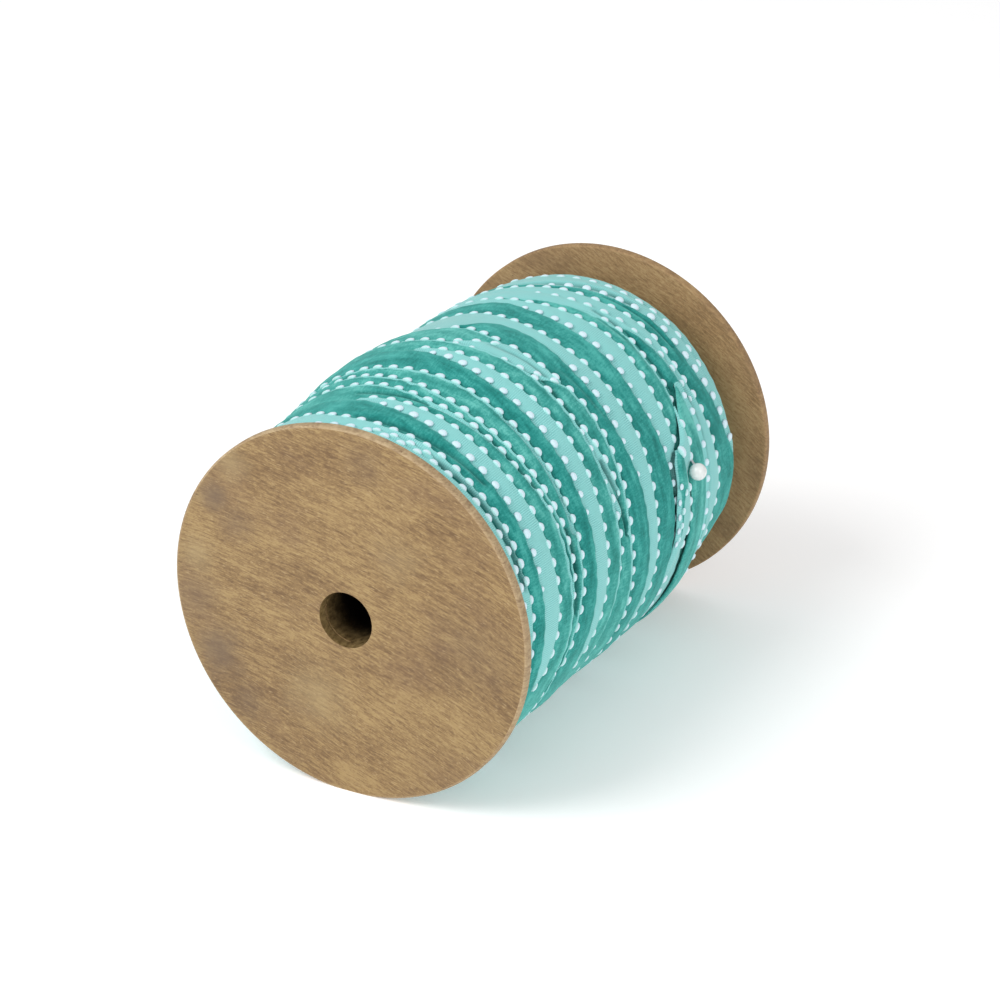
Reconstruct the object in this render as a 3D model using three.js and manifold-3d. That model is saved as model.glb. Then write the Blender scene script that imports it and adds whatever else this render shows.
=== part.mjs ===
// Velvet ribbon with a picot edge, wound on a small wooden spool that lies on its side.
// Millimetres, +Z up. The spool's axis runs along Y and its front disc faces -Y.
// The origin is on the surface that the spool lies on, below the middle of the spool.

import * as THREE from 'three';
import { mergeVertices } from 'three/addons/utils/BufferGeometryUtils.js';
import Module from 'manifold-3d';

const wasm = await Module();
wasm.setup();

// Wooden spool
const DISC_RADIUS = 38;
const DISC_THICKNESS = 2.2;
const DISC_EASE = 0.4;
const FLAT_DEPTH = 0.3;
const BORE_RADIUS = 5.7;
const BORE_ASIDE = -0.3;
const BORE_LOWER = 1.0;
const CORE_RADIUS = 12.7;
const INNER_LENGTH = 104.7;
const DISC_SEGMENTS = 96;
const CORE_SEGMENTS = 48;

// Wound ribbon
const WIND_SEGMENTS = 60;
const END_CLEARANCE = 0.4;
const GROUND_CLEARANCE = 0.5;
const LEAN = 0.6;
const LEAN_DEGREES = -40;
const EDGE_LIP = 0.85;
const EDGE_BEFORE = 0.25;
const EDGE_AFTER = 0.45;
const CROWN_DIP = 0.15;
const FULL_LIP_WIDTH = 5;

// Loose end, which is the same ribbon folded over and pinned down in a bed of its own
const END_THICKNESS = 1.1;
const END_LIFT = 0.15;
const END_CROWN = 0.25;
const END_ACROSS_STEPS = 10;
const END_ALONG_STEPS = 30;
const END_STEPS_EASE = 1.4;
const BED_DROP = 0.45;
const BED_MARGIN = 0.5;
const BED_MARGIN_DEGREES = 0.8;
const BED_HEIGHT = 3;
const FOLD_RISE = 0.5;
const FOLD_DEGREES = 6;
const FLAP_RISE = 0.8;
const FLAP_DEGREES = 67;
const FLAP_HALF_DEGREES = 5.5;

// Pin with a pearl head
const PEARL_RADIUS = 1.75;
const PIN_RADIUS = 0.33;
const PIN_LENGTH = 22;
const PIN_SOCKET_DEPTH = 1.0;
const PIN_DIVE_DEGREES = 37;
const PIN_TURN_DEGREES = 34;
const PEARL_ALONG = 69.8;
const PEARL_DEGREES = 76.7;

const GAP = 0.3;
const AXIS_HEIGHT = DISC_RADIUS - FLAT_DEPTH;
const WIND_START = -INNER_LENGTH / 2;

// How far the winding stands out from the spool's axis. along: millimetres from the front disc.
const WINDING_RADII = [
  { along: 0, radius: 35.8 },
  { along: 8, radius: 36.4 },
  { along: 16, radius: 36.9 },
  { along: 26, radius: 37.7 },
  { along: 36, radius: 38.4 },
  { along: 46, radius: 38.4 },
  { along: 58, radius: 38.0 },
  { along: 70, radius: 37.4 },
  { along: 80, radius: 36.6 },
  { along: 88, radius: 35.8 },
  { along: 94, radius: 34.9 },
  { along: 98, radius: 34.0 },
  { along: 101, radius: 32.4 },
  { along: 104.7, radius: 29.0 },
];

// Where each turn's outer edge lies, in millimetres from the front disc, at five places round
// the spool: over it, up the near side, at the near side, under it and at the far side.
const EDGE_DEGREES = [0, 45, 90, 180, 270];
const RIBBON_EDGES = [
  { over: 4.0, up: 3.9, near: 3.8, under: 3.9, far: 3.9 },
  { over: 7.5, up: 6.3, near: 5.4, under: 6.4, far: 7.2 },
  { over: 14.0, up: 10.9, near: 8.9, under: 10.0, far: 12.6 },
  { over: 17.1, up: 15.4, near: 13.3, under: 14.2, far: 16.2 },
  { over: 21.6, up: 19.7, near: 18.0, under: 19.0, far: 20.6 },
  { over: 24.8, up: 21.6, near: 19.9, under: 23.2, far: 25.0 },
  { over: 30.1, up: 26.4, near: 21.9, under: 27.6, far: 30.0 },
  { over: 36.6, up: 31.4, near: 27.2, under: 32.0, far: 35.0 },
  { over: 40.2, up: 36.0, near: 30.6, under: 36.6, far: 39.6 },
  { over: 44.3, up: 41.1, near: 36.4, under: 41.5, far: 44.0 },
  { over: 52.0, up: 47.5, near: 41.8, under: 46.6, far: 50.4 },
  { over: 57.6, up: 52.3, near: 49.8, under: 52.0, far: 56.0 },
  { over: 61.7, up: 57.5, near: 53.4, under: 57.6, far: 60.6 },
  { over: 69.3, up: 64.6, near: 62.0, under: 63.8, far: 67.0 },
  { over: 73.7, up: 70.3, near: 67.6, under: 69.4, far: 72.2 },
  { over: 78.8, up: 76.4, near: 74.0, under: 75.0, far: 77.4 },
  { over: 81.2, up: 82.4, near: 81.0, under: 80.2, far: 81.0 },
  { over: 85.0, up: 84.4, near: 85.6, under: 85.0, far: 85.0 },
  { over: 90.0, up: 91.3, near: 92.5, under: 91.0, far: 90.6 },
  { over: 95.5, up: 95.3, near: 97.6, under: 96.0, far: 95.6 },
];

// The loose end's two sides, from its fold down to where it slips back into the winding.
const END_SIDES = [
  { degrees: 51, left: 78.6, right: 80.6 },
  { degrees: 56, left: 75.6, right: 81.0 },
  { degrees: 62, left: 71.8, right: 81.0 },
  { degrees: 68, left: 67.2, right: 80.8 },
  { degrees: 73, left: 64.6, right: 80.5 },
  { degrees: 82, left: 64.0, right: 80.1 },
  { degrees: 90, left: 63.9, right: 79.7 },
  { degrees: 96, left: 66.8, right: 79.4 },
  { degrees: 102, left: 69.4, right: 79.0 },
  { degrees: 120, left: 68.8, right: 78.4 },
  { degrees: 150, left: 68.0, right: 77.8 },
];
const END_FIRST_DEGREES = END_SIDES[0].degrees;
const END_LAST_DEGREES = END_SIDES[END_SIDES.length - 1].degrees;

const VELVET_COLOUR = 0x2f9c92;
const WOOD_COLOUR = 0xa48a5f;
const PEARL_COLOUR = 0xe9e4df;
const STEEL_COLOUR = 0xb9bcc0;

function radians(degrees) {
  return (degrees * Math.PI) / 180;
}

function wrapDegrees(degrees) {
  return ((degrees % 360) + 360) % 360;
}

// A smooth value at x through knots, with the slope at each knot taken from its neighbours.
function hermite(x, x0, x1, y0, y1, slope0, slope1) {
  const width = x1 - x0;
  const t = (x - x0) / width;
  const t2 = t * t;
  const t3 = t2 * t;
  const start = (2 * t3 - 3 * t2 + 1) * y0 + (t3 - 2 * t2 + t) * width * slope0;
  return start + (3 * t2 - 2 * t3) * y1 + (t3 - t2) * width * slope1;
}

function readTable(rows, xName, yName, x) {
  const last = rows.length - 1;
  const held = Math.min(Math.max(x, rows[0][xName]), rows[last][xName]);
  let i = 0;
  while (i < last - 1 && rows[i + 1][xName] < held) {
    i += 1;
  }
  const slopeAt = (k) => {
    const a = rows[Math.max(k - 1, 0)];
    const b = rows[Math.min(k + 1, last)];
    return (b[yName] - a[yName]) / (b[xName] - a[xName]);
  };
  const from = rows[i];
  const to = rows[i + 1];
  return hermite(held, from[xName], to[xName], from[yName], to[yName], slopeAt(i), slopeAt(i + 1));
}

function edgeAt(edge, degrees) {
  const values = [edge.over, edge.up, edge.near, edge.under, edge.far];
  const count = values.length;
  const place = (k) => EDGE_DEGREES[(k + count) % count] + 360 * Math.floor(k / count);
  const value = (k) => values[(k + count) % count];
  const slopeAt = (k) => (value(k + 1) - value(k - 1)) / (place(k + 1) - place(k - 1));
  const turned = wrapDegrees(degrees);
  let i = 0;
  while (i < count - 1 && EDGE_DEGREES[i + 1] <= turned) {
    i += 1;
  }
  return hermite(turned, place(i), place(i + 1), value(i), value(i + 1), slopeAt(i), slopeAt(i + 1));
}

// The winding's outermost radius: it leans to one side, and it is pressed flat over the ground.
function windingRadius(along, degrees) {
  const middle = Math.sin((Math.PI * along) / INNER_LENGTH);
  const lean = LEAN * middle * Math.cos(radians(degrees - LEAN_DEGREES));
  const radius = readTable(WINDING_RADII, 'along', 'radius', along) + lean;
  const downward = -Math.cos(radians(degrees));
  if (downward < 0.3) {
    return radius;
  }
  return Math.min(radius, (AXIS_HEIGHT - GROUND_CLEARANCE) / downward);
}

function pointOnSpool(along, degrees, radius) {
  const angle = radians(degrees);
  const x = radius * Math.sin(angle);
  const z = AXIS_HEIGHT + radius * Math.cos(angle);
  return new THREE.Vector3(x, WIND_START + along, z);
}

// Each turn has three lines round the spool: the foot of the edge before it, its crown and its edge.
function windingLines() {
  const lines = [{ edge: null, side: 'front' }];
  RIBBON_EDGES.forEach((edge, index) => {
    lines.push({ edge, index, side: 'crown' });
    lines.push({ edge, index, side: 'lip' });
    lines.push({ edge, index, side: 'foot' });
  });
  lines.push({ edge: null, side: 'last crown' });
  lines.push({ edge: null, side: 'back' });
  return lines;
}

function linePlace(line, degrees) {
  const backEnd = INNER_LENGTH - END_CLEARANCE;
  if (line.side === 'front') {
    return { along: END_CLEARANCE, dip: EDGE_LIP };
  }
  if (line.side === 'back') {
    return { along: backEnd, dip: 0 };
  }
  const lastEdge = RIBBON_EDGES[RIBBON_EDGES.length - 1];
  if (line.side === 'last crown') {
    return { along: (edgeAt(lastEdge, degrees) + EDGE_AFTER + backEnd) / 2, dip: CROWN_DIP };
  }
  const here = edgeAt(line.edge, degrees);
  const before = line.index > 0 ? edgeAt(RIBBON_EDGES[line.index - 1], degrees) : 0;
  const next = RIBBON_EDGES[line.index + 1];
  const after = next ? edgeAt(next, degrees) : backEnd;
  if (line.side === 'crown') {
    return { along: (before + EDGE_AFTER + here - EDGE_BEFORE) / 2, dip: CROWN_DIP };
  }
  if (line.side === 'lip') {
    return { along: here - EDGE_BEFORE, dip: 0 };
  }
  const share = Math.min(1, (after - here) / FULL_LIP_WIDTH);
  return { along: here + EDGE_AFTER, dip: EDGE_LIP * share };
}

function closed(geometry) {
  geometry.deleteAttribute('normal');
  geometry.deleteAttribute('uv');
  return mergeVertices(geometry, 1e-4);
}

function toSolid(geometry) {
  const merged = closed(geometry);
  return new wasm.Manifold(new wasm.Mesh({
    numProp: 3,
    vertProperties: new Float32Array(merged.attributes.position.array),
    triVerts: new Uint32Array(merged.index.array),
  }));
}

function toGeometry(solid) {
  const mesh = solid.getMesh();
  const geometry = new THREE.BufferGeometry();
  geometry.setAttribute('position', new THREE.BufferAttribute(mesh.vertProperties, 3));
  geometry.setIndex(new THREE.BufferAttribute(mesh.triVerts, 1));
  return geometry;
}

// The spool's bore, which is drilled a little off the discs' middle.
function boreSolid() {
  const bore = new THREE.CylinderGeometry(BORE_RADIUS, BORE_RADIUS, 2 * INNER_LENGTH, CORE_SEGMENTS);
  bore.translate(BORE_ASIDE, 0, AXIS_HEIGHT - BORE_LOWER);
  return toSolid(bore);
}

// A disc with its bore, an eased rim and the small flat that it lies on.
function discGeometry(low) {
  const high = low + DISC_THICKNESS;
  const corner = 0.3 * DISC_EASE;
  const profile = [
    new THREE.Vector2(0, low),
    new THREE.Vector2(DISC_RADIUS - DISC_EASE, low),
    new THREE.Vector2(DISC_RADIUS - corner, low + corner),
    new THREE.Vector2(DISC_RADIUS, low + DISC_EASE),
    new THREE.Vector2(DISC_RADIUS, high - DISC_EASE),
    new THREE.Vector2(DISC_RADIUS - corner, high - corner),
    new THREE.Vector2(DISC_RADIUS - DISC_EASE, high),
    new THREE.Vector2(0, high),
  ];
  const disc = new THREE.LatheGeometry(profile, DISC_SEGMENTS);
  disc.translate(0, 0, AXIS_HEIGHT);
  const ground = new THREE.BoxGeometry(DISC_RADIUS, 3 * INNER_LENGTH, DISC_RADIUS);
  ground.translate(0, 0, -DISC_RADIUS / 2);
  return toGeometry(toSolid(disc).subtract(boreSolid()).subtract(toSolid(ground)));
}

function coreGeometry() {
  const length = INNER_LENGTH - 2 * GAP;
  const core = new THREE.CylinderGeometry(CORE_RADIUS, CORE_RADIUS, length, CORE_SEGMENTS);
  core.translate(0, 0, AXIS_HEIGHT);
  return toGeometry(toSolid(core).subtract(boreSolid()));
}

// The winding starts as a turned ring, and its lines are then moved out to the ribbon's turns.
function windingGeometry() {
  const lines = windingLines();
  const inner = CORE_RADIUS + GAP;
  const profile = lines.map((line, k) => new THREE.Vector2(DISC_RADIUS, k));
  profile.unshift(new THREE.Vector2(inner, 0));
  profile.push(new THREE.Vector2(inner, lines.length - 1));
  profile.push(profile[0].clone());
  const geometry = new THREE.LatheGeometry(profile, WIND_SEGMENTS);
  const position = geometry.attributes.position;
  const last = profile.length - 1;
  for (let v = 0; v < position.count; v += 1) {
    const degrees = (360 * Math.floor(v / profile.length)) / WIND_SEGMENTS;
    const k = v % profile.length;
    let along = k === last - 1 ? INNER_LENGTH - END_CLEARANCE : END_CLEARANCE;
    let radius = inner / Math.cos(Math.PI / WIND_SEGMENTS);
    if (k > 0 && k < last - 1) {
      const place = linePlace(lines[k - 1], degrees);
      along = place.along;
      radius = windingRadius(along, degrees) - place.dip;
    }
    const point = pointOnSpool(along, degrees, radius);
    position.setXYZ(v, point.x, point.y, point.z);
  }
  return geometry;
}

// How far the loose end's upper side stands above the winding: it is crowned across, thicker at
// its fold, and raised where its folded-back flap lies.
function endRise(across, degrees) {
  const fold = Math.max(0, 1 - (degrees - END_FIRST_DEGREES) / FOLD_DEGREES);
  const flapPlace = Math.min(1, Math.abs(degrees - FLAP_DEGREES) / FLAP_HALF_DEGREES);
  const flap = 0.5 + 0.5 * Math.cos(Math.PI * flapPlace);
  const bulge = Math.sin(Math.PI * across);
  return END_LIFT + FOLD_RISE * fold + (END_CROWN + FLAP_RISE * flap) * bulge;
}

// A flat strip whose points are laid on the winding between the loose end's two sides.
function stripOnWinding(margin, marginDegrees, drop, rise) {
  const strip = new THREE.BoxGeometry(1, 1, 1, END_ACROSS_STEPS, 1, END_ALONG_STEPS);
  const position = strip.attributes.position;
  const first = END_FIRST_DEGREES - marginDegrees;
  const last = END_LAST_DEGREES + marginDegrees;
  for (let v = 0; v < position.count; v += 1) {
    const across = position.getX(v) + 0.5;
    const downward = Math.pow(position.getZ(v) + 0.5, END_STEPS_EASE);
    const degrees = THREE.MathUtils.lerp(first, last, downward);
    const left = readTable(END_SIDES, 'degrees', 'left', degrees) - margin;
    const right = readTable(END_SIDES, 'degrees', 'right', degrees) + margin;
    const along = THREE.MathUtils.lerp(left, right, across);
    const height = position.getY(v) > 0 ? rise(across, degrees) : -drop;
    const point = pointOnSpool(along, degrees, windingRadius(along, degrees) + height);
    position.setXYZ(v, point.x, point.y, point.z);
  }
  return strip;
}

function looseEndGeometry() {
  return stripOnWinding(0, 0, END_THICKNESS - END_LIFT, endRise);
}

function bedGeometry() {
  const drop = END_THICKNESS - END_LIFT + BED_DROP;
  return stripOnWinding(BED_MARGIN, BED_MARGIN_DEGREES, drop, () => BED_HEIGHT);
}

function pinPlace() {
  const along = PEARL_ALONG;
  const degrees = PEARL_DEGREES;
  const outward = pointOnSpool(0, degrees, 1).sub(pointOnSpool(0, degrees, 0));
  const upward = new THREE.Vector3(-outward.z, 0, outward.x);
  const backward = new THREE.Vector3(0, 1, 0);
  const top = windingRadius(along, degrees) + END_LIFT + END_CROWN;
  const centre = pointOnSpool(along, degrees, top + GAP + PEARL_RADIUS);
  const dive = radians(PIN_DIVE_DEGREES);
  const turn = radians(PIN_TURN_DEGREES);
  const direction = new THREE.Vector3();
  direction.addScaledVector(upward, Math.cos(dive) * Math.cos(turn));
  direction.addScaledVector(backward, Math.cos(dive) * Math.sin(turn));
  direction.addScaledVector(outward, -Math.sin(dive));
  return { centre, direction: direction.normalize() };
}

function rodGeometry(radius, from, to, segments) {
  const path = new THREE.LineCurve3(from, to);
  const section = new THREE.Shape();
  section.absarc(0, 0, radius, 0, 2 * Math.PI, false);
  return new THREE.ExtrudeGeometry(section, { steps: 1, curveSegments: segments, extrudePath: path });
}

function pinPoint(place, distance) {
  return place.centre.clone().addScaledVector(place.direction, distance);
}

function buildPin() {
  const place = pinPlace();
  const start = PEARL_RADIUS - PIN_SOCKET_DEPTH + GAP;
  const sphere = new THREE.SphereGeometry(PEARL_RADIUS, 24, 16);
  sphere.translate(place.centre.x, place.centre.y, place.centre.z);
  const socketStart = pinPoint(place, PEARL_RADIUS - PIN_SOCKET_DEPTH);
  const socketEnd = pinPoint(place, 2 * PEARL_RADIUS);
  const socket = rodGeometry(PIN_RADIUS + GAP, socketStart, socketEnd, 12);
  const head = toGeometry(toSolid(sphere).subtract(toSolid(socket)));
  const shaft = closed(rodGeometry(PIN_RADIUS, pinPoint(place, start), pinPoint(place, PIN_LENGTH), 10));
  const holeEnd = pinPoint(place, PIN_LENGTH + GAP);
  const hole = toSolid(rodGeometry(PIN_RADIUS + GAP, pinPoint(place, PEARL_RADIUS / 2), holeEnd, 12));
  return { head, shaft, hole };
}

function addMesh(group, name, geometry, colour, roughness, metalness) {
  const material = new THREE.MeshStandardMaterial({ color: colour, roughness, metalness });
  const mesh = new THREE.Mesh(geometry, material);
  mesh.name = name;
  group.add(mesh);
}

const pin = buildPin();
const bedded = toSolid(windingGeometry()).subtract(toSolid(bedGeometry()));
const winding = toGeometry(bedded.subtract(pin.hole));
const looseEnd = toGeometry(toSolid(looseEndGeometry()).subtract(pin.hole));
const backDiscStart = INNER_LENGTH / 2;

const spool = new THREE.Group();
addMesh(spool, 'front_disc', discGeometry(-backDiscStart - DISC_THICKNESS), WOOD_COLOUR, 0.7, 0);
addMesh(spool, 'back_disc', discGeometry(backDiscStart), WOOD_COLOUR, 0.7, 0);
addMesh(spool, 'core', coreGeometry(), WOOD_COLOUR, 0.75, 0);
addMesh(spool, 'wound_ribbon', winding, VELVET_COLOUR, 0.95, 0);
addMesh(spool, 'ribbon_end', looseEnd, VELVET_COLOUR, 0.95, 0);
addMesh(spool, 'pin_head', pin.head, PEARL_COLOUR, 0.25, 0);
addMesh(spool, 'pin_shaft', pin.shaft, STEEL_COLOUR, 0.3, 1);

export default spool;
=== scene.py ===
import math

import bpy
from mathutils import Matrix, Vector, noise


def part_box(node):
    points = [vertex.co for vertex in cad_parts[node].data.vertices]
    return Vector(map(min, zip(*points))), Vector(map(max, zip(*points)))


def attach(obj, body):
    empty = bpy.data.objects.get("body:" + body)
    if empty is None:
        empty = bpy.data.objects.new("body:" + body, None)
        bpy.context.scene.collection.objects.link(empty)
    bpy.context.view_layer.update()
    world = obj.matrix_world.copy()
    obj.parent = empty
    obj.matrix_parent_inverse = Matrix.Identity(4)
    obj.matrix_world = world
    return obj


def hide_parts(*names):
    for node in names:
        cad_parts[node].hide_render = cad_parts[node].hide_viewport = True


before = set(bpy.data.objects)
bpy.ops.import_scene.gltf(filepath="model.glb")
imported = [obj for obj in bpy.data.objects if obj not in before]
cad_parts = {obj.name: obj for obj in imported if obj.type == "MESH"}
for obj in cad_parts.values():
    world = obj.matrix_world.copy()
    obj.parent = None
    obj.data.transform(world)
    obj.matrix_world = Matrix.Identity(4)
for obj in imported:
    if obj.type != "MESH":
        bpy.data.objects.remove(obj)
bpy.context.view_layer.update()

MM = 0.001

# Sizes read from the frame, in millimetres
FRONT_LOW, FRONT_HIGH = (Vector(corner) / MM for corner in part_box("front_disc"))
BACK_LOW, BACK_HIGH = (Vector(corner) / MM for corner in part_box("back_disc"))
CORE_LOW, CORE_HIGH = (Vector(corner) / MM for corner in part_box("core"))
PEARL_LOW, PEARL_HIGH = (Vector(corner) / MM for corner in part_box("pin_head"))
DISC_RADIUS = FRONT_HIGH.x
CORE_RADIUS = CORE_HIGH.x
AXIS_HEIGHT = (CORE_LOW.z + CORE_HIGH.z) / 2
WIND_START = FRONT_HIGH.y
INNER_LENGTH = BACK_LOW.y - FRONT_HIGH.y

# Spool
BORE_RADIUS = 5.7
BORE_ASIDE = -0.3
BORE_LOWER = 1.0
BORE_BAND = 1.5
RIM_ROUNDING = 0.42
RIM_SEGMENTS = 3
DISC_SIDES = 256
BORE_SIDES = 128
SMOOTH_DEGREES = 40

# Patches on the front disc's face: (x, z, reach, strength), in metres
DARK_STAINS = [
    (-0.0292, 0.0565, 0.006, 0.75), (-0.024, 0.052, 0.006, 0.4), (-0.029, 0.0235, 0.009, 0.75),
    (-0.0225, 0.014, 0.007, 0.45), (-0.034, 0.034, 0.01, 0.35), (0.027, 0.036, 0.014, 0.3),
    (0.004, 0.07, 0.007, 0.3),
]
PALE_STAINS = [
    (-0.0063, 0.019, 0.011, 0.5), (-0.0245, 0.0635, 0.006, 0.5), (-0.033, 0.043, 0.006, 0.5),
    (0.011, 0.052, 0.008, 0.3),
]

# Camera, which stands where the photograph was taken from
CAMERA_PLACE = (0.2881, -0.5328, 0.3195)
CAMERA_AZIMUTH = 28.122
CAMERA_ELEVATION = 24.822
CAMERA_LENS = 120.1
CAMERA_SENSOR = 36

# Wound ribbon. A place on it is how far along the spool it lies from the front disc, in
# millimetres, and its angle round the spool: 0 at the top, 90 on the side towards +x.
RIBBON_WIDTH = 10
PILE = 0.42
BASE = 0.26
STEP = 0.8
DEEPEST = 2.9
EMERGE = 1.3
CROWN = 0.2
WAVE = 0.1
TUFTS = 0.05
GROUND_CLEARANCE = 0.5
GROUND_SIDE = 0.3
TURN_STEPS = 360
SEAM_DEGREES = 180
EDGE_PLACES = 720
EDGE_WANDER = 0.06
FIRST_EDGE = 0.2
SIDE_GAP = 0.5
LEAST_SHOWN = 1.2
SELVEDGE = {"velvet": 0.85, "rolled": 0.15, "back": 0.3}
SELVEDGE_IN_MAP = 0.55
MAP_SHIFT = 37.7
# Painted shade: turns are painted darker where they slip under the turn over them and in creases.
# This is how far that reaches and how strong it is.
CONTACT_SHADE_REACH = 0.45
CONTACT_SHADE_STRENGTH = {"velvet": 0.85, "rolled": 0.85, "back": 0.45}
CREASE_SHADE_STRENGTH = 1.3

# Turns buried under the ones that show: a ring of points round the spool and across it
INNER_DEPTH = 3.2
INNER_MARGIN = 0.6
INNER_AROUND = 120
INNER_ACROSS = 40
INNER_TOP = 34
CORE_GAP = 0.35

# Looped edge. A loop on a rolled edge lies whole on the turn beside it.
LOOP_PITCH = 3.6
HALF_OVAL = {"length": 1.95, "reach": 1.15, "tuck": 0.6, "thick": 0.85, "droop": -0.08}
WHOLE_OVAL = {"length": 1.9, "reach": 1.75, "thick": 0.8, "droop": 0.1}
LOOP_SHAPES = {"velvet": HALF_OVAL, "rolled": WHOLE_OVAL, "back": HALF_OVAL}
SMALLEST_LOOP = 0.15
LOOP_CLEARANCE = 0.25
LOOP_STRAY = 0.25
LOOP_RISE = {"velvet": 0.02, "rolled": 0.02, "back": 0.1}
LOOP_DROP = 0.1
RIPPLE = 0.2
RIPPLE_REACH = 1.5

# How far the winding stands out from the spool's axis on its upper left side and on its lower
# right side: (along, radius). It changes smoothly from one to the other round the spool.
UPPER_DEGREES = -43
UPPER_RADII = [
    (0, 36.4), (8, 36.7), (16, 37.0), (20, 37.2), (24, 37.7), (28, 38.1), (32, 38.7), (36, 39.1),
    (40, 39.35), (44, 39.35), (48, 39.0), (52, 38.6), (56, 38.2), (60, 37.7), (64, 37.4),
    (68, 37.4), (72, 37.4), (76, 37.3), (80, 37.1), (84, 36.7), (88, 36.1), (92, 35.6),
    (94, 35.2), (96, 34.8), (98, 33.9), (99, 32.7), (100, 30.9), (102, 28.2), (104.7, 26.4),
]
LOWER_RADII = [
    (0, 35.8), (8, 36.4), (16, 36.5), (20, 36.7), (28, 36.8), (36, 36.6), (40, 36.7), (44, 37.0),
    (48, 37.2), (56, 37.35), (64, 37.35), (68, 37.4), (72, 37.3), (76, 37.0), (80, 36.6),
    (84, 36.0), (88, 35.5), (92, 34.9), (94, 34.5), (96, 33.9), (98, 32.9), (99, 31.6), (100, 29.9),
    (102, 27.6), (104.7, 26.0),
]

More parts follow.
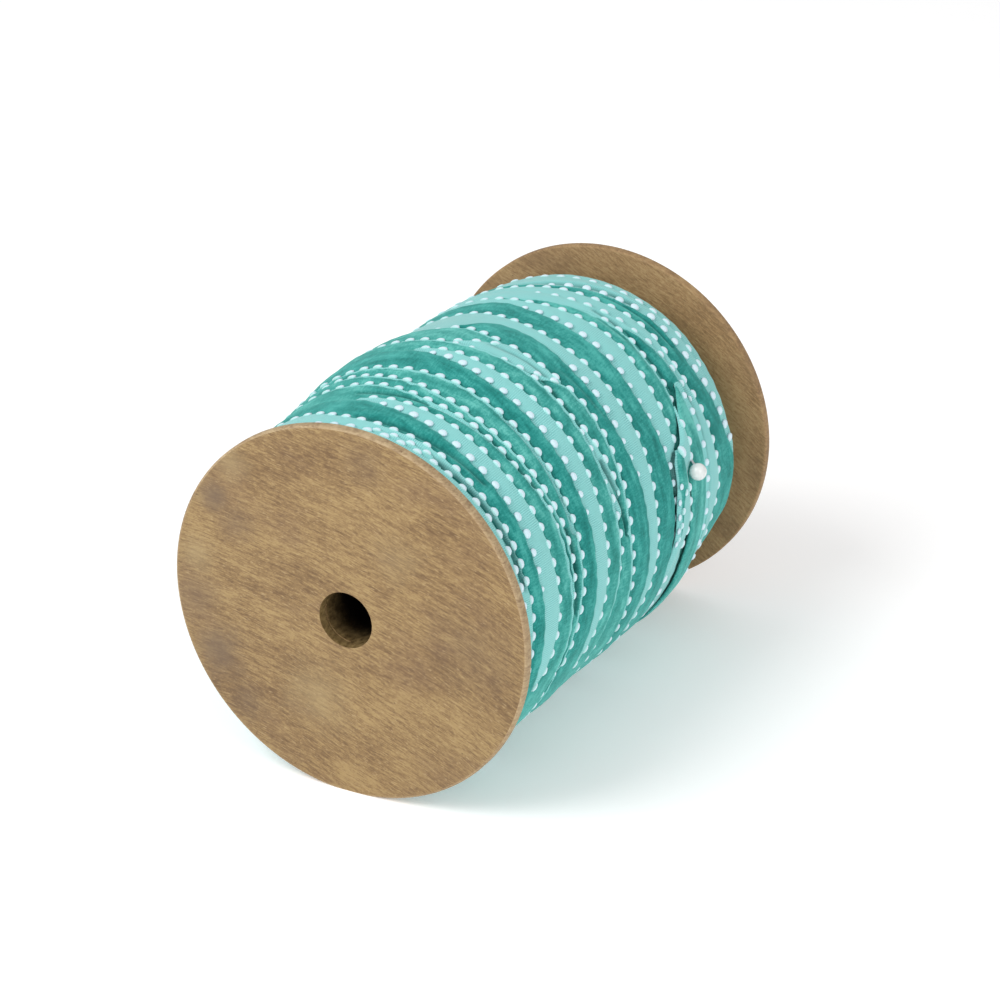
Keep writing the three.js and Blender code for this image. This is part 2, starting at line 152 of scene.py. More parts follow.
# The turns that show, from the front disc to the back one. Each has the side of the ribbon that
# shows, where its right-hand edge lies as (degrees, along), and how large its loops stand out as
# (degrees, size). A turn whose edge goes back under the turn before it is out of sight there.
ALL_ROUND = [(0, 1)]
NONE = [(0, 0)]
TURNS = [
    ("back", [
        (-40, 3.8), (-20, 3.5), (0, 3.4), (30, 3.5), (60, 3.4), (70, 2.9), (80, 2.3), (100, 1.6),
        (180, 2.6), (270, 3.6),
    ], ALL_ROUND),
    ("back", [
        (-10, 2.0), (1, 3.2), (5, 4.6), (10, 4.8), (20, 4.8), (25, 5.0), (30, 3.4), (40, 2.4),
        (100, 1.0), (180, 1.6), (270, 2.0),
    ], [(0, 0), (4, 0.8), (24, 0.8), (28, 0)]),
    ("back", [
        (-30, 10.2), (-20, 9.1), (-10, 7.3), (0, 6.7), (10, 6.5), (20, 6.6), (30, 6.3),
        (40, 6.0), (50, 6.0), (60, 5.7), (70, 5.3), (80, 4.8), (90, 4.0), (100, 3.4), (110, 3.2),
        (180, 5.2), (270, 8.6),
    ], ALL_ROUND),
    ("rolled", [
        (-40, 15.4), (-20, 15.6), (-8, 15.2), (0, 14.0), (10, 13.0), (20, 11.9), (30, 10.9),
        (40, 10.4), (50, 10.3), (60, 9.9), (70, 9.5), (80, 9.3), (90, 8.7), (100, 7.9),
        (110, 7.0), (125, 6.2), (180, 9.4), (270, 13.6),
    ], [
        (-8, 0), (-3, 0.6), (2, 1), (60, 1), (68, 0.75), (76, 0.3), (79, 0), (180, 0), (190, 1),
        (250, 1), (260, 0),
    ]),
    ("back", [
        (-40, 14.2), (-20, 14.8), (-14, 15.5), (-10, 16.4), (0, 17.0), (10, 16.7), (20, 16.3),
        (30, 15.7), (40, 15.5), (60, 15.5), (70, 15.2), (80, 14.8), (90, 13.8), (100, 12.0),
        (105, 10.3), (110, 7.6), (116, 5.8), (130, 5.6), (165, 8.0), (185, 12.4), (240, 16.0),
        (270, 16.2), (300, 15.0),
    ], [(-14, 0), (-10, 1), (109, 1), (113, 0), (175, 0), (185, 1), (270, 1), (290, 0)]),
    ("velvet", [
        (-40, 22.8), (-30, 23.3), (-20, 23.0), (-10, 22.5), (0, 21.5), (10, 20.5), (20, 20.1),
        (30, 19.9), (40, 19.9), (50, 20.3), (60, 20.6), (70, 20.3), (80, 20.0), (90, 19.8),
        (100, 19.1), (110, 17.6), (120, 16.2), (180, 19.4), (270, 22.2),
    ], [(-60, 1), (48, 1), (60, 0.7), (66, 0), (112, 0), (125, 1)]),
    ("velvet", [
        (-40, 28.2), (-30, 28.0), (-20, 27.1), (-10, 25.9), (0, 24.8), (10, 23.4), (20, 22.5),
        (30, 22.0), (40, 21.8), (60, 22.0), (70, 21.7), (80, 21.0), (90, 20.2), (100, 19.3),
        (110, 18.0), (180, 22.0), (270, 26.8),
    ], [(-60, 1), (78, 1), (86, 0.6), (90, 0), (125, 0), (140, 1)]),
    ("velvet", [
        (-40, 30.8), (-20, 30.3), (-10, 29.8), (0, 29.4), (10, 29.0), (20, 28.2), (30, 27.7),
        (40, 27.2), (50, 26.6), (60, 25.8), (70, 25.3), (80, 24.5), (90, 23.1), (100, 21.2),
        (110, 18.9), (120, 17.6), (180, 24.0), (270, 30.0),
    ], ALL_ROUND),
    ("rolled", [
        (-40, 37.4), (-20, 37.6), (-10, 37.2), (0, 36.0), (10, 34.4), (20, 33.1), (30, 32.2),
        (40, 31.6), (50, 31.1), (60, 30.4), (70, 30.2), (80, 29.5), (90, 29.0), (100, 28.4),
        (110, 27.4), (120, 26.4), (180, 29.8), (270, 36.2),
    ], [
        (-9, 0), (-4, 0.6), (1, 1), (55, 0.9), (63, 0.5), (68, 0), (190, 0), (200, 1), (250, 1),
        (260, 0),
    ]),
    ("back", [
        (-40, 36.0), (-20, 36.7), (-14, 37.3), (-10, 38.4), (0, 38.9), (10, 38.3), (20, 37.6),
        (30, 37.0), (40, 36.8), (50, 36.3), (60, 35.4), (70, 34.6), (80, 33.9), (90, 33.2),
        (100, 32.0), (105, 30.8), (110, 29.6), (115, 28.0), (120, 26.0), (130, 25.2),
        (165, 28.0), (185, 32.4), (240, 38.4), (270, 38.6), (300, 37.2),
    ], [(-14, 0), (-10, 1), (116, 1), (121, 0), (175, 0), (185, 1), (270, 1), (290, 0)]),
    ("velvet", [
        (-40, 44.0), (-30, 43.6), (-20, 43.2), (0, 43.2), (10, 43.3), (20, 43.3), (30, 42.6),
        (40, 41.8), (50, 41.1), (60, 40.4), (70, 40.1), (80, 39.8), (90, 39.3), (100, 38.4),
        (110, 37.4), (120, 36.8), (180, 38.6), (270, 43.6),
    ], [
        (-16, 1), (-8, 1), (-4, 0.45), (2, 0.3), (6, 0), (11, 0), (14, 0.55), (20, 0.8), (30, 1),
        (42, 0.7), (51, 0.4), (54, 0), (61, 0), (65, 0.9), (86, 1), (90, 0), (112, 0), (125, 1),
    ]),
    ("back", [
        (-40, 41.0), (20, 41.0), (36, 40.8), (41, 41.6), (45, 42.3), (50, 42.5), (60, 42.8),
        (66, 42.9), (71, 41.9), (76, 40.0), (85, 37.0), (180, 36.5), (270, 41.0),
    ], [(42, 0), (45, 1), (61, 1), (66, 0.6), (68, 0)]),
    ("velvet", [
        (-40, 40.6), (15, 41.0), (20, 42.9), (24, 44.7), (29, 46.2), (33, 47.8), (40, 47.7),
        (50, 46.9), (60, 45.7), (70, 44.6), (80, 43.8), (90, 44.1), (100, 44.7), (110, 45.2),
        (120, 45.2), (180, 45.4), (220, 44.6), (250, 41.5), (270, 40.6),
    ], [(21, 0), (24, 1), (225, 1), (235, 0)]),
    ("back", [
        (-40, 41.2), (-12, 41.6), (-6, 43.2), (-2, 44.1), (3, 45.8), (7, 47.4), (11, 49.0),
        (15, 48.5), (20, 48.0), (27, 47.8), (33, 47.3), (40, 46.8), (60, 44.8), (80, 43.0),
        (110, 44.2), (180, 44.4), (220, 43.0), (270, 41.0),
    ], [(-8, 0), (-3, 1), (32, 1), (34, 0)]),
    ("velvet", [
        (-40, 51.0), (-16, 51.6), (-10, 52.4), (-5, 52.2), (0, 51.1), (5, 50.0), (10, 48.9),
        (14, 47.9), (20, 47.0), (40, 46.0), (60, 44.0), (80, 42.4), (110, 43.4), (180, 43.6),
        (230, 45.4), (250, 48.0), (270, 49.4), (300, 50.6),
    ], [(-18, 0), (-13, 0.7), (-9, 1), (8, 1), (11, 0), (235, 0), (245, 1), (300, 1), (320, 0)]),
    ("rolled", [
        (-40, 50.0), (-20, 50.4), (-13, 51.9), (-9, 53.6), (-5, 56.3), (0, 57.7), (10, 56.9),
        (20, 55.5), (30, 53.6), (40, 52.5), (50, 51.4), (60, 51.0), (70, 51.1), (80, 51.0),
        (90, 51.2), (100, 51.5), (120, 51.2), (180, 52.2), (230, 54.0), (270, 53.0), (300, 50.6),
    ], [
        (25, 0), (28, 0.9), (40, 1), (50, 0.8), (58, 0.4), (68, 0.25), (71, 0), (180, 0),
        (190, 1), (230, 1), (250, 0),
    ]),
    ("back", [
        (-40, 63.2), (-20, 64.0), (-10, 63.5), (0, 62.0), (10, 60.6), (20, 59.5), (30, 58.9),
        (40, 58.3), (50, 57.4), (60, 56.5), (70, 55.5), (80, 54.7), (90, 54.5), (100, 54.6),
        (110, 53.5), (120, 52.6), (180, 57.0), (270, 61.4),
    ], ALL_ROUND),
    ("rolled", [
        (-40, 69.8), (-20, 70.4), (-10, 70.4), (-4, 69.8), (0, 68.9), (10, 67.9), (20, 66.9),
        (30, 66.3), (40, 65.1), (50, 64.1), (60, 64.0), (70, 63.7), (80, 63.1), (90, 62.7),
        (100, 62.4), (110, 62.5), (120, 62.8), (180, 63.8), (270, 68.2),
    ], [
        (-4, 0), (1, 0.7), (10, 0.9), (18, 1), (38, 0.9), (42, 0.45), (62, 0.4), (69, 0.8),
        (87, 0.7), (93, 0.3), (110, 1), (270, 1), (300, 0),
    ]),
    ("back", [
        (-40, 72.4), (-20, 72.8), (0, 72.3), (10, 72.8), (20, 72.9), (30, 72.5), (40, 71.0),
        (50, 69.6), (60, 68.6), (65, 68.3), (72, 67.9), (80, 67.2), (100, 67.0), (180, 69.4),
        (270, 72.2),
    ], [(-60, 1), (66, 1), (68, 0), (150, 0), (160, 1)]),
    ("velvet", [
        (-40, 74.0), (-20, 73.8), (-10, 74.0), (0, 74.6), (8, 75.6), (15, 76.8), (22, 77.6),
        (30, 77.5), (40, 76.0), (50, 75.4), (54, 74.8), (60, 74.2), (70, 73.8), (100, 73.8),
        (180, 75.2), (270, 75.4),
    ], [(18, 0), (21, 0.9), (54, 0.9), (57, 0), (150, 0), (160, 1), (270, 1), (300, 0)]),
    ("rolled", [
        (-40, 72.5), (10, 74.6), (20, 76.4), (26, 78.4), (30, 79.8), (36, 80.6), (44, 81.1),
        (60, 81.3), (100, 80.4), (180, 79.0), (230, 76.0), (270, 73.0),
    ], NONE),
    ("back", [
        (-40, 77.6), (-20, 77.8), (-10, 78.4), (0, 78.7), (10, 79.2), (20, 80.3), (30, 81.2),
        (40, 81.9), (50, 82.1), (60, 82.1), (80, 82.4), (100, 82.0), (180, 81.0), (270, 78.4),
    ], [
        (-6, 0), (-1, 0.6), (4, 0.9), (24, 1), (30, 0.7), (36, 0.9), (50, 0.8), (58, 0.4),
        (64, 0), (150, 0), (160, 1), (300, 1), (320, 0),
    ]),
    ("back", [
        (-40, 81.0), (-20, 81.4), (-10, 81.9), (0, 82.9), (10, 83.5), (20, 84.3), (30, 85.1),
        (36, 84.8), (42, 83.9), (50, 83.4), (60, 84.0), (70, 84.9), (80, 85.5), (90, 86.6),
        (100, 85.4), (110, 84.6), (180, 85.0), (270, 83.6),
    ], ALL_ROUND),
    ("rolled", [
        (-40, 83.6), (-20, 83.8), (-10, 84.0), (-4, 84.8), (0, 85.7), (5, 87.0), (10, 87.8),
        (20, 89.0), (30, 90.5), (36, 90.3), (42, 89.7), (50, 89.6), (58, 90.4), (64, 91.4),
        (70, 92.1), (76, 93.1), (82, 94.5), (88, 96.2), (95, 97.5), (120, 96.0), (180, 91.0),
        (270, 87.4),
    ], [(-8, 0), (-3, 0.7), (2, 1), (82, 1), (86, 0), (130, 0), (140, 1), (280, 1), (300, 0)]),
    ("back", [
        (-40, 92.0), (0, 93.4), (20, 94.2), (30, 94.4), (40, 93.9), (50, 93.3), (60, 93.2),
        (70, 94.2), (80, 95.6), (88, 96.9), (100, 98.2), (120, 96.8), (180, 94.6), (270, 93.0),
    ], [(-60, 1), (53, 1), (56, 0.4), (58, 0), (150, 0), (160, 1)]),
    ("back", [
        (-40, 95.2), (0, 96.4), (20, 97.2), (30, 97.4), (40, 97.0), (50, 96.6), (60, 96.4),
        (70, 96.6), (80, 97.0), (90, 97.9), (100, 98.8), (120, 97.6), (180, 96.8), (270, 95.8),
    ], NONE),
    ("velvet", [(0, 103.6)], NONE),
]

# Where a row of loops starts to be counted, in degrees, turn by turn
LOOP_STARTS = [
    37, 5, 37, 42.3, 43.3, 41, 40.8, 42.3, 43.3, 40, 35, 50.7, 29, 2.7, 0.3, 44.5, 40.2, 32.6, 37.6,
    43.7, 0, 36, 41.3, 46.7, 39.8, 0, 0,
]

# Creases and gaps between turns, and low ridges: (drop, half width, line of (degrees, along)).
# A ridge has a drop below nought.
FOLD_FADE = 2.2
FOLD_SPAN = 12
FOLDS = [
    (1.6, 0.5, [(26, 4.9), (45, 5.0), (60, 4.9), (72, 4.4)]),
    (0.6, 0.6, [(-5, 8.6), (8, 8.4), (20, 8.5), (30, 8.8), (40, 9.0)]),
    (0.8, 0.42, [(-14, 19.1), (0, 19.3), (10, 19.2), (22, 19.2), (36, 19.4), (50, 19.8)]),
    (1.3, 0.5, [(28, 27.1), (34, 26.7), (40, 26.3), (50, 25.7), (60, 25.0), (68, 24.4)]),
    (1.0, 0.5, [(66, 22.9), (75, 22.6), (84, 21.9), (92, 21.2)]),
    (0.3, 0.5, [(27, 51.0), (35, 50.8), (46, 50.6)]),
    (0.5, 0.4, [(7, 46.6), (15, 46.6), (26, 46.3)]),
    (0.8, 0.4, [(24, 44.3), (30, 43.8), (38, 42.7), (44, 42.3)]),
    (1.1, 0.45, [(56, 41.7), (63, 41.9), (71, 42.3), (80, 42.2)]),
    (0.35, 0.4, [(11, 76.0), (20, 76.2), (31, 75.8)]),
    (0.7, 0.4, [(17, 79.0), (25, 79.1), (33, 78.4), (40, 77.5), (52, 76.9)]),
    (1.3, 0.55, [
        (-18, 86.4), (-10, 87.2), (-4, 88.3), (2, 89.4), (8, 90.4), (15, 91.2), (22, 91.8),
    ]),
    (0.6, 0.4, [(14, 87.0), (20, 87.7), (30, 88.6), (42, 88.0)]),
    (-0.7, 3.4, [(85, 96.0), (92, 96.4), (106, 96.0)]),
    (0.5, 0.42, [
        (51, 78.2), (52, 77.4), (55, 75.7), (58, 74.2), (60, 73.3), (64, 71.4), (66, 69.7),
        (68, 67.8),
    ]),
    (0.85, 0.42, [(69, 66.9), (70, 66.2), (72, 65.2), (75, 64.6), (82, 64.3), (92, 64.2)]),
    (1.3, 0.36, [
        (55, 81.0), (62, 81.0), (70, 80.9), (76, 80.9), (80, 80.7), (90, 80.3), (98, 80.1),
    ]),
    (-0.3, 1.0, [(0, 74.0), (15, 74.5), (30, 74.2), (45, 73.2)]),
]

# Painted sheen on the pile: patches painted lighter, or painted darker where the last number is
# below nought, as (degrees, along, reach in degrees, reach along, amount).
PAINTED_SHEEN_FADE = 6
PAINTED_SHEEN_PATCHES = [
    (-8, 44, 14, 10, 0.05),
    (30, 62, 16, 7, 0.06),
    (20, 81, 14, 6, 0.06),
    (60, 75.5, 6.5, 2.6, 0.13),
    (12, 86.8, 13, 1.7, 0.07),
    (12, 75.2, 14, 2.2, 0.05),
    (62, 88.5, 22, 4.5, -0.05),
    (65, 8.5, 30, 2, 0.035),
]

# The loose end, whose tip is folded back at a slant and pinned: the ribbon that comes up round the
# spool, the length folded back over it with its woven side out, and that length's own edge
# turned over again. Lines are (degrees, along) for the sides and (degrees, lift) for the height.
TAIL_STRIPS = {
    "under": {
        "side": "velvet", "selvedge_at": "right", "tip": 1.0, "curl": 0.35,
        "selvedge": [(51, 2.4), (62, 2.5), (73, 2.3), (87, 2.8), (150, 2.6)],
        "left": [
            (51, 79.3), (52, 77.7), (53, 77.0), (55.4, 75.2), (57.5, 74.0), (60, 72.8),
            (64, 71.0), (67, 69.4), (72, 68.6), (80, 67.2), (95, 65.9), (110, 65.2), (150, 64.5),
        ],
        "right": [
            (51, 80.0), (52, 80.4), (54, 80.2), (57, 79.9), (62, 79.8), (67, 79.7), (73, 79.6),
            (78, 79.4), (84, 79.0), (90, 78.6), (96, 78.2), (110, 77.4), (150, 76.0),
        ],
        "lift": [
            (51, 0.3), (53, 0.7), (58, 0.8), (110, 0.8), (125, 0.6), (138, -0.1), (148, -1.2),
        ],
    },
    "over": {
        "side": "back", "selvedge_at": "right", "tip": 0, "curl": 0.7,
        "selvedge": [(57, 0.3), (118, 0.3)],
        "left": [
            (57, 73.5), (60, 72.2), (62, 71.4), (64, 70.5), (66.8, 69.2), (68, 67.6), (69, 66.3),
            (71, 65.0), (74, 64.4), (77, 64.1), (80, 63.4), (84, 62.6), (88, 62.3), (92, 62.1),
            (97, 61.6), (105, 60.8), (118, 60),
        ],
        "right": [
            (57, 73.6), (60, 72.7), (62, 72.1), (68, 71.9), (72, 70.8), (76, 69.4), (80, 67.9),
            (85, 67.5), (90, 67.3), (94, 66.1), (97, 64.9), (105, 63.2), (118, 62),
        ],
        "lift": [
            (57, 0.6), (60, 0.95), (66, 1.05), (94, 1.0), (103, 0.6), (111, -0.4), (117, -1.1),
        ],
    },
    "lapel": {
        "side": "velvet", "selvedge_at": "left", "tip": 0.3, "curl": 0.5,
        "selvedge": [(68, 0.3), (78, 0.35), (82, 0.9), (90, 1.2), (106, 1.0)],
        "left": [
            (68, 66.9), (69, 66.2), (70.5, 65.2), (74, 64.4), (77, 64.1), (80, 63.4), (84, 62.6),
            (88, 62.3), (92, 62.1), (97, 61.6), (106, 60.8),
        ],
        "right": [
            (68, 67.5), (70, 67.5), (72, 67.3), (75, 67.2), (78, 67.0), (80, 66.1), (82, 65.0),
            (84, 64.3), (88, 63.8), (93, 63.4), (99, 62.6), (106, 61.8),
        ],
        "lift": [(68, 1.0), (70, 1.4), (86, 1.35), (95, 1.2), (101, 0.5), (106, -0.6)],
    },
}
STRIP_THICKNESS = 0.34
CURL_REACH = 1.3
PIN_DEGREES = 76.7
PIN_ALONG = 69.8
PIN_PRESS = 0.75
PIN_PRESS_REACH = 1.9

# Loops of the loose end: (strip, side, how far inside it, size, how they lie, degrees)
TAIL_LOOP_ROWS = [
    ("under", "right", 1.8, 0.68, "rolled", (56.2, 61.7, 67.1, 72.6, 78.4, 83.6, 88.8, 94.2, 99.5,
                                             105.0, 110.5, 116.0, 121.5)),
    ("over", "right", 0, 1.0, "velvet", (62.4, 68.0, 72.3, 80.5, 84.8, 89.6, 93.6, 97.4)),
    ("lapel", "right", 0.1, 1.7, "velvet", (69.0,)),
    ("lapel", "left", 0.7, 0.5, "rolled", (78.4, 82.8, 87.2, 91.6, 95.8)),
    ("lapel", "right", 0.2, 0.6, "velvet", (80.8, 85.7, 90.3, 94.6)),
]
TAIL_LOOPS = [
    (strip, degrees, aside, inside, kind, size)
    for strip, aside, inside, size, kind, row in TAIL_LOOP_ROWS for degrees in row
]


def deselect_all():
    bpy.ops.object.select_all(action="DESELECT")


def pick(piece):
    """Selects one piece alone, so that the next operator works on it."""
    deselect_all()
    piece.select_set(True)
    bpy.context.view_layer.objects.active = piece


# Reading the tables

def knot_slope(before, here, after):
    """The slope at a knot that keeps the line from swinging past its neighbours."""
    first = (here[1] - before[1]) / (here[0] - before[0])
    second = (after[1] - here[1]) / (after[0] - here[0])
    if first * second <= 0:
        return 0.0
    return 2 * first * second / (first + second)


def read_table(rows, x):
    """A smooth value at x through rows of (x, y), held at both ends."""
    x = min(max(x, rows[0][0]), rows[-1][0])
    last = len(rows) - 1
    i = 0
    while i < last - 1 and rows[i + 1][0] < x:
        i += 1
    (x0, y0), (x1, y1) = rows[i], rows[i + 1]
    plain = (y1 - y0) / (x1 - x0)
    slope0 = knot_slope(rows[i - 1], rows[i], rows[i + 1]) if i > 0 else plain
    slope1 = knot_slope(rows[i], rows[i + 1], rows[i + 2]) if i + 2 <= last else plain
    width = x1 - x0
    t = (x - x0) / width
    start = (2 * t**3 - 3 * t**2 + 1) * y0 + (t**3 - 2 * t**2 + t) * width * slope0
    return start + (3 * t**2 - 2 * t**3) * y1 + (t**3 - t**2) * width * slope1


def round_rows(rows):
    """Rows of (degrees, value) made to go right round the spool."""
    rows = sorted((degrees % 360, value) for degrees, value in rows)
    before = [(degrees - 360, value) for degrees, value in rows[-2:]]
    after = [(degrees + 360, value) for degrees, value in rows[:2]]
    return before + rows + after


def ring_noise(fineness, degrees, seed):
    """Noise that closes on itself right round the spool."""
    angle = math.radians(degrees)
    return noise.noise(Vector((seed, fineness * math.cos(angle), fineness * math.sin(angle))))


def ease(share):
    share = min(max(share, 0.0), 1.0)
    return share * share * (3 - 2 * share)


def edge_places(index):
    """A turn's right-hand edge at every place round the spool. It wanders a little."""
    rows = round_rows(TURNS[index][1])
    places = []
    for place in range(EDGE_PLACES):
        degrees = 360 * place / EDGE_PLACES
        wander = EDGE_WANDER * ring_noise(3, degrees, index * 7.31)
        places.append(read_table(rows, degrees) + wander)
    return places


EDGES = [edge_places(index) for index in range(len(TURNS))]
COVERS = [EDGES[0]]
for edges in EDGES[1:]:
    COVERS.append([max(pair) for pair in zip(COVERS[-1], edges)])
RADII_PER_MM = 4
RADII_COUNT = int(INNER_LENGTH * RADII_PER_MM) + 2
UPPER = [read_table(UPPER_RADII, i / RADII_PER_MM) for i in range(RADII_COUNT + 1)]
LOWER = [read_table(LOWER_RADII, i / RADII_PER_MM) for i in range(RADII_COUNT + 1)]
MM_PER_DEGREE = math.pi * DISC_RADIUS / 180


def read_places(values, degrees):
    place = (degrees % 360) * EDGE_PLACES / 360
    low = int(place)
    share = place - low
    if share == 0:
        return values[low % EDGE_PLACES]
    return values[low % EDGE_PLACES] * (1 - share) + values[(low + 1) % EDGE_PLACES] * share


def turn_edge(index, degrees):
    return read_places(EDGES[index], degrees) if index >= 0 else FIRST_EDGE


def turn_cover(index, degrees):
    """How far this turn and those over it reach to the right."""
    return read_places(COVERS[index], degrees) if index >= 0 else FIRST_EDGE


def winding_radius(along, degrees):
    """The winding's outermost radius. It is pressed flat over the ground."""
    place = min(max(along, 0), INNER_LENGTH) * RADII_PER_MM
    low = int(place)
    share = place - low
    upper = UPPER[low] * (1 - share) + UPPER[low + 1] * share
    lower = LOWER[low] * (1 - share) + LOWER[low + 1] * share
    lean = (1 + math.cos(math.radians(degrees - UPPER_DEGREES))) / 2
    radius = lower * (1 - lean) + upper * lean
    downward = -math.cos(math.radians(degrees))
    if downward < GROUND_SIDE:
        return radius
    return min(radius, (AXIS_HEIGHT - GROUND_CLEARANCE) / downward)


def spool_point(along, degrees, radius):
    angle = math.radians(degrees)
    x = radius * math.sin(angle)
    z = AXIS_HEIGHT + radius * math.cos(angle)
    return Vector((x, WIND_START + along, z)) * MM


def ribbon_point(along, degrees, lift):
    return spool_point(along, degrees, winding_radius(along, degrees) + lift)


def turns_over(index, along, degrees):
    """How many turns lie over this turn at a place, counted smoothly across each of them."""
    count = 0.0
    while index >= 0:
        cover = turn_cover(index - 1, degrees)
        if along >= cover:
            right = turn_edge(index, degrees)
            width = right - cover
            share = min(max((right - along) / max(width, 0.5), 0.0), 1.0)
            return min(count + 1 - ease(width / EMERGE) * (1 - share), DEEPEST)
        index -= 1
        if along <= turn_edge(index, degrees):
            count += 1
    return min(count, DEEPEST)


def line_distance(line, along, degrees):
    """How far a place lies from a line of (degrees, along), in millimetres."""
    nearest = 1e9
    for (d0, a0), (d1, a1) in zip(line, line[1:]):
        run, rise = (d1 - d0) * MM_PER_DEGREE, a1 - a0
        x, y = (degrees - d0) * MM_PER_DEGREE, along - a0
        share = min(max((x * run + y * rise) / (run * run + rise * rise), 0.0), 1.0)
        nearest = min(nearest, math.hypot(x - share * run, y - share * rise))
    return nearest


def fold_drop(along, degrees):
    """How far the creases sink the surface at a place."""
    degrees = (degrees + 180) % 360 - 180
    drop = 0.0
    for depth, width, line in FOLDS:
        reach = FOLD_FADE * width
        beside = reach / MM_PER_DEGREE
        if not line[0][0] - beside <= degrees <= line[-1][0] + beside:
            continue
        if abs(along - line[len(line) // 2][1]) > FOLD_SPAN:
            continue
        distance = line_distance(line, along, degrees)
        if distance < reach:
            drop += depth * math.exp(-((distance / width) ** 2))
    return drop


def painted_sheen(along, degrees):
    """How much lighter the pile is painted at a place: painted sheen where its nap leans towards
    the light.
    """
    degrees = (degrees + 180) % 360 - 180
    tone_and_sheen = 0.0
    for middle, at, reach, reach_along, amount in PAINTED_SHEEN_PATCHES:
        apart = ((degrees - middle) / reach) ** 2 + ((along - at) / reach_along) ** 2
        if apart < PAINTED_SHEEN_FADE:
            tone_and_sheen += amount * math.exp(-apart)
    return tone_and_sheen


def finish_piece(piece, name, slot, *nodes):
    piece.name = name
    piece.data.name = name
    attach(piece, "root")
    if nodes:
        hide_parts(*nodes)


def smooth(piece):
    for face in piece.data.polygons:
        face.use_smooth = True


# Materials

WAVE_PERIOD = 0.31416
RIB_PITCH = 0.435
GRAIN_BEND = 2.3
# Names of the point attributes that hold painted shade and painted sheen
PAINTED_SHADE_NAME = "painted_shade"
PAINTED_SHEEN_NAME = "painted_sheen"
MINT = (0.295, 0.69, 0.675)
MINT_DULL = (0.22, 0.565, 0.545)
MINT_THREAD = (0.128, 0.43, 0.42)
# Colours of the painted shade on the pile and on the woven back
PILE_PAINTED_SHADE = (0.002, 0.05, 0.045)
MINT_PAINTED_SHADE = (0.01, 0.13, 0.12)
NAP_STOPS = (0.38, 0.5, 0.62)
WOOD_STOPS = (0.42, 0.5, 0.58)

# Places of the sockets for colours on a mix node
MIX_SOCKETS = (0, 6, 7)
MIX_RESULT = 2


def add_node(tree, kind, **settings):
    node = tree.nodes.new(kind)
    for name, value in settings.items():
        setattr(node, name, value)
    return node


def fill(socket, value):
    """Sets a socket to a value, or joins it to the output given for it."""
    if isinstance(value, bpy.types.NodeSocket):
        socket.id_data.links.new(value, socket)
    elif socket.type == "RGBA":
        socket.default_value = (*value[:3], 1)
    else:
        socket.default_value = value


def set_inputs(node, **values):
    for name, value in values.items():
        fill(node.inputs[name.replace("_", " ")], value)


def math_of(tree, operation, *values):
    node = add_node(tree, "ShaderNodeMath", operation=operation)
    for socket, value in zip(node.inputs, values):
        fill(socket, value)
    return node.outputs[0]


def noise_of(tree, place, scale, detail, roughness=0.6):
    node = add_node(tree, "ShaderNodeTexNoise")
    set_inputs(node, Vector=place, Scale=scale, Detail=detail, Roughness=roughness)
    return node.outputs["Fac"]


def stretched(tree, place, scale):
    node = add_node(tree, "ShaderNodeMapping")
    set_inputs(node, Vector=place, Scale=scale)
    return node.outputs["Vector"]


def share_between(tree, value, low, high):
    """Nought below the low value, one above the high one, and smooth between them."""
    node = add_node(tree, "ShaderNodeMapRange", interpolation_type="SMOOTHSTEP")
    set_inputs(node, Value=value, From_Min=low, From_Max=high)
    return node.outputs["Result"]


def mix_colours(tree, share, first, second):
    node = add_node(tree, "ShaderNodeMix", data_type="RGBA")
    for place, value in zip(MIX_SOCKETS, (share, first, second)):
        fill(node.inputs[place], value)
    return node.outputs[MIX_RESULT]


def colour_ramp(tree, factor, stops):
    stops = list(stops)
    ramp = add_node(tree, "ShaderNodeValToRGB")
    elements = ramp.color_ramp.elements
    while len(elements) < len(stops):
        elements.new(1.0)
    for element, (place, colour) in zip(elements, stops):
        element.position = place
        element.color = (*colour, 1)
    fill(ramp.inputs["Fac"], factor)
    return ramp.outputs["Color"]


def new_group(name, inputs, outputs):
    """An empty node group with its named sockets, and the nodes that hold them inside."""
    group = bpy.data.node_groups.new(name, "ShaderNodeTree")
    for label, kind in inputs:
        group.interface.new_socket(label, in_out="INPUT", socket_type=kind)
    for label in outputs:
        group.interface.new_socket(label, in_out="OUTPUT", socket_type="NodeSocketFloat")
    way_in = group.nodes.new("NodeGroupInput")
    way_out = group.nodes.new("NodeGroupOutput")
    return group, way_in.outputs, way_out


def place_group(tree, group, **values):
    node = add_node(tree, "ShaderNodeGroup", node_tree=group)
    set_inputs(node, **values)
    return node.outputs


def ribbed_weave():
    """Threads of the ribbon's ground: ribs that run across it, and where they show less."""
    group, given, way_out = new_group(
        "ribbed_weave", [("Place", "NodeSocketVector")], ["Ribs", "Patches"]
    )
    ribs = add_node(group, "ShaderNodeTexWave", wave_type="BANDS", bands_direction="X")
    set_inputs(ribs, Vector=given["Place"], Scale=WAVE_PERIOD / RIB_PITCH)
    set_inputs(ribs, Distortion=0.7, Detail=1.5, Detail_Scale=1.4)
    patches = noise_of(group, given["Place"], 0.3, 3)
    shown = share_between(group, patches, 0.34, 0.62)
    shown = math_of(group, "MULTIPLY_ADD", shown, 0.75, 0.25)
    shown = math_of(group, "MULTIPLY", ribs.outputs["Fac"], shown)
    set_inputs(way_out, Ribs=shown, Patches=patches)
    return group


def contact_shade():
    """Painted shade where a turn slips under its neighbour, or sinks into a crease."""
    group, given, way_out = new_group("contact_shade", [("Strength", "NodeSocketFloat")], ["Shade"])
    painted_shade = add_node(group, "ShaderNodeAttribute", attribute_name=PAINTED_SHADE_NAME).outputs["Fac"]
    set_inputs(way_out, Shade=math_of(group, "MULTIPLY", painted_shade, given["Strength"]))
    return group


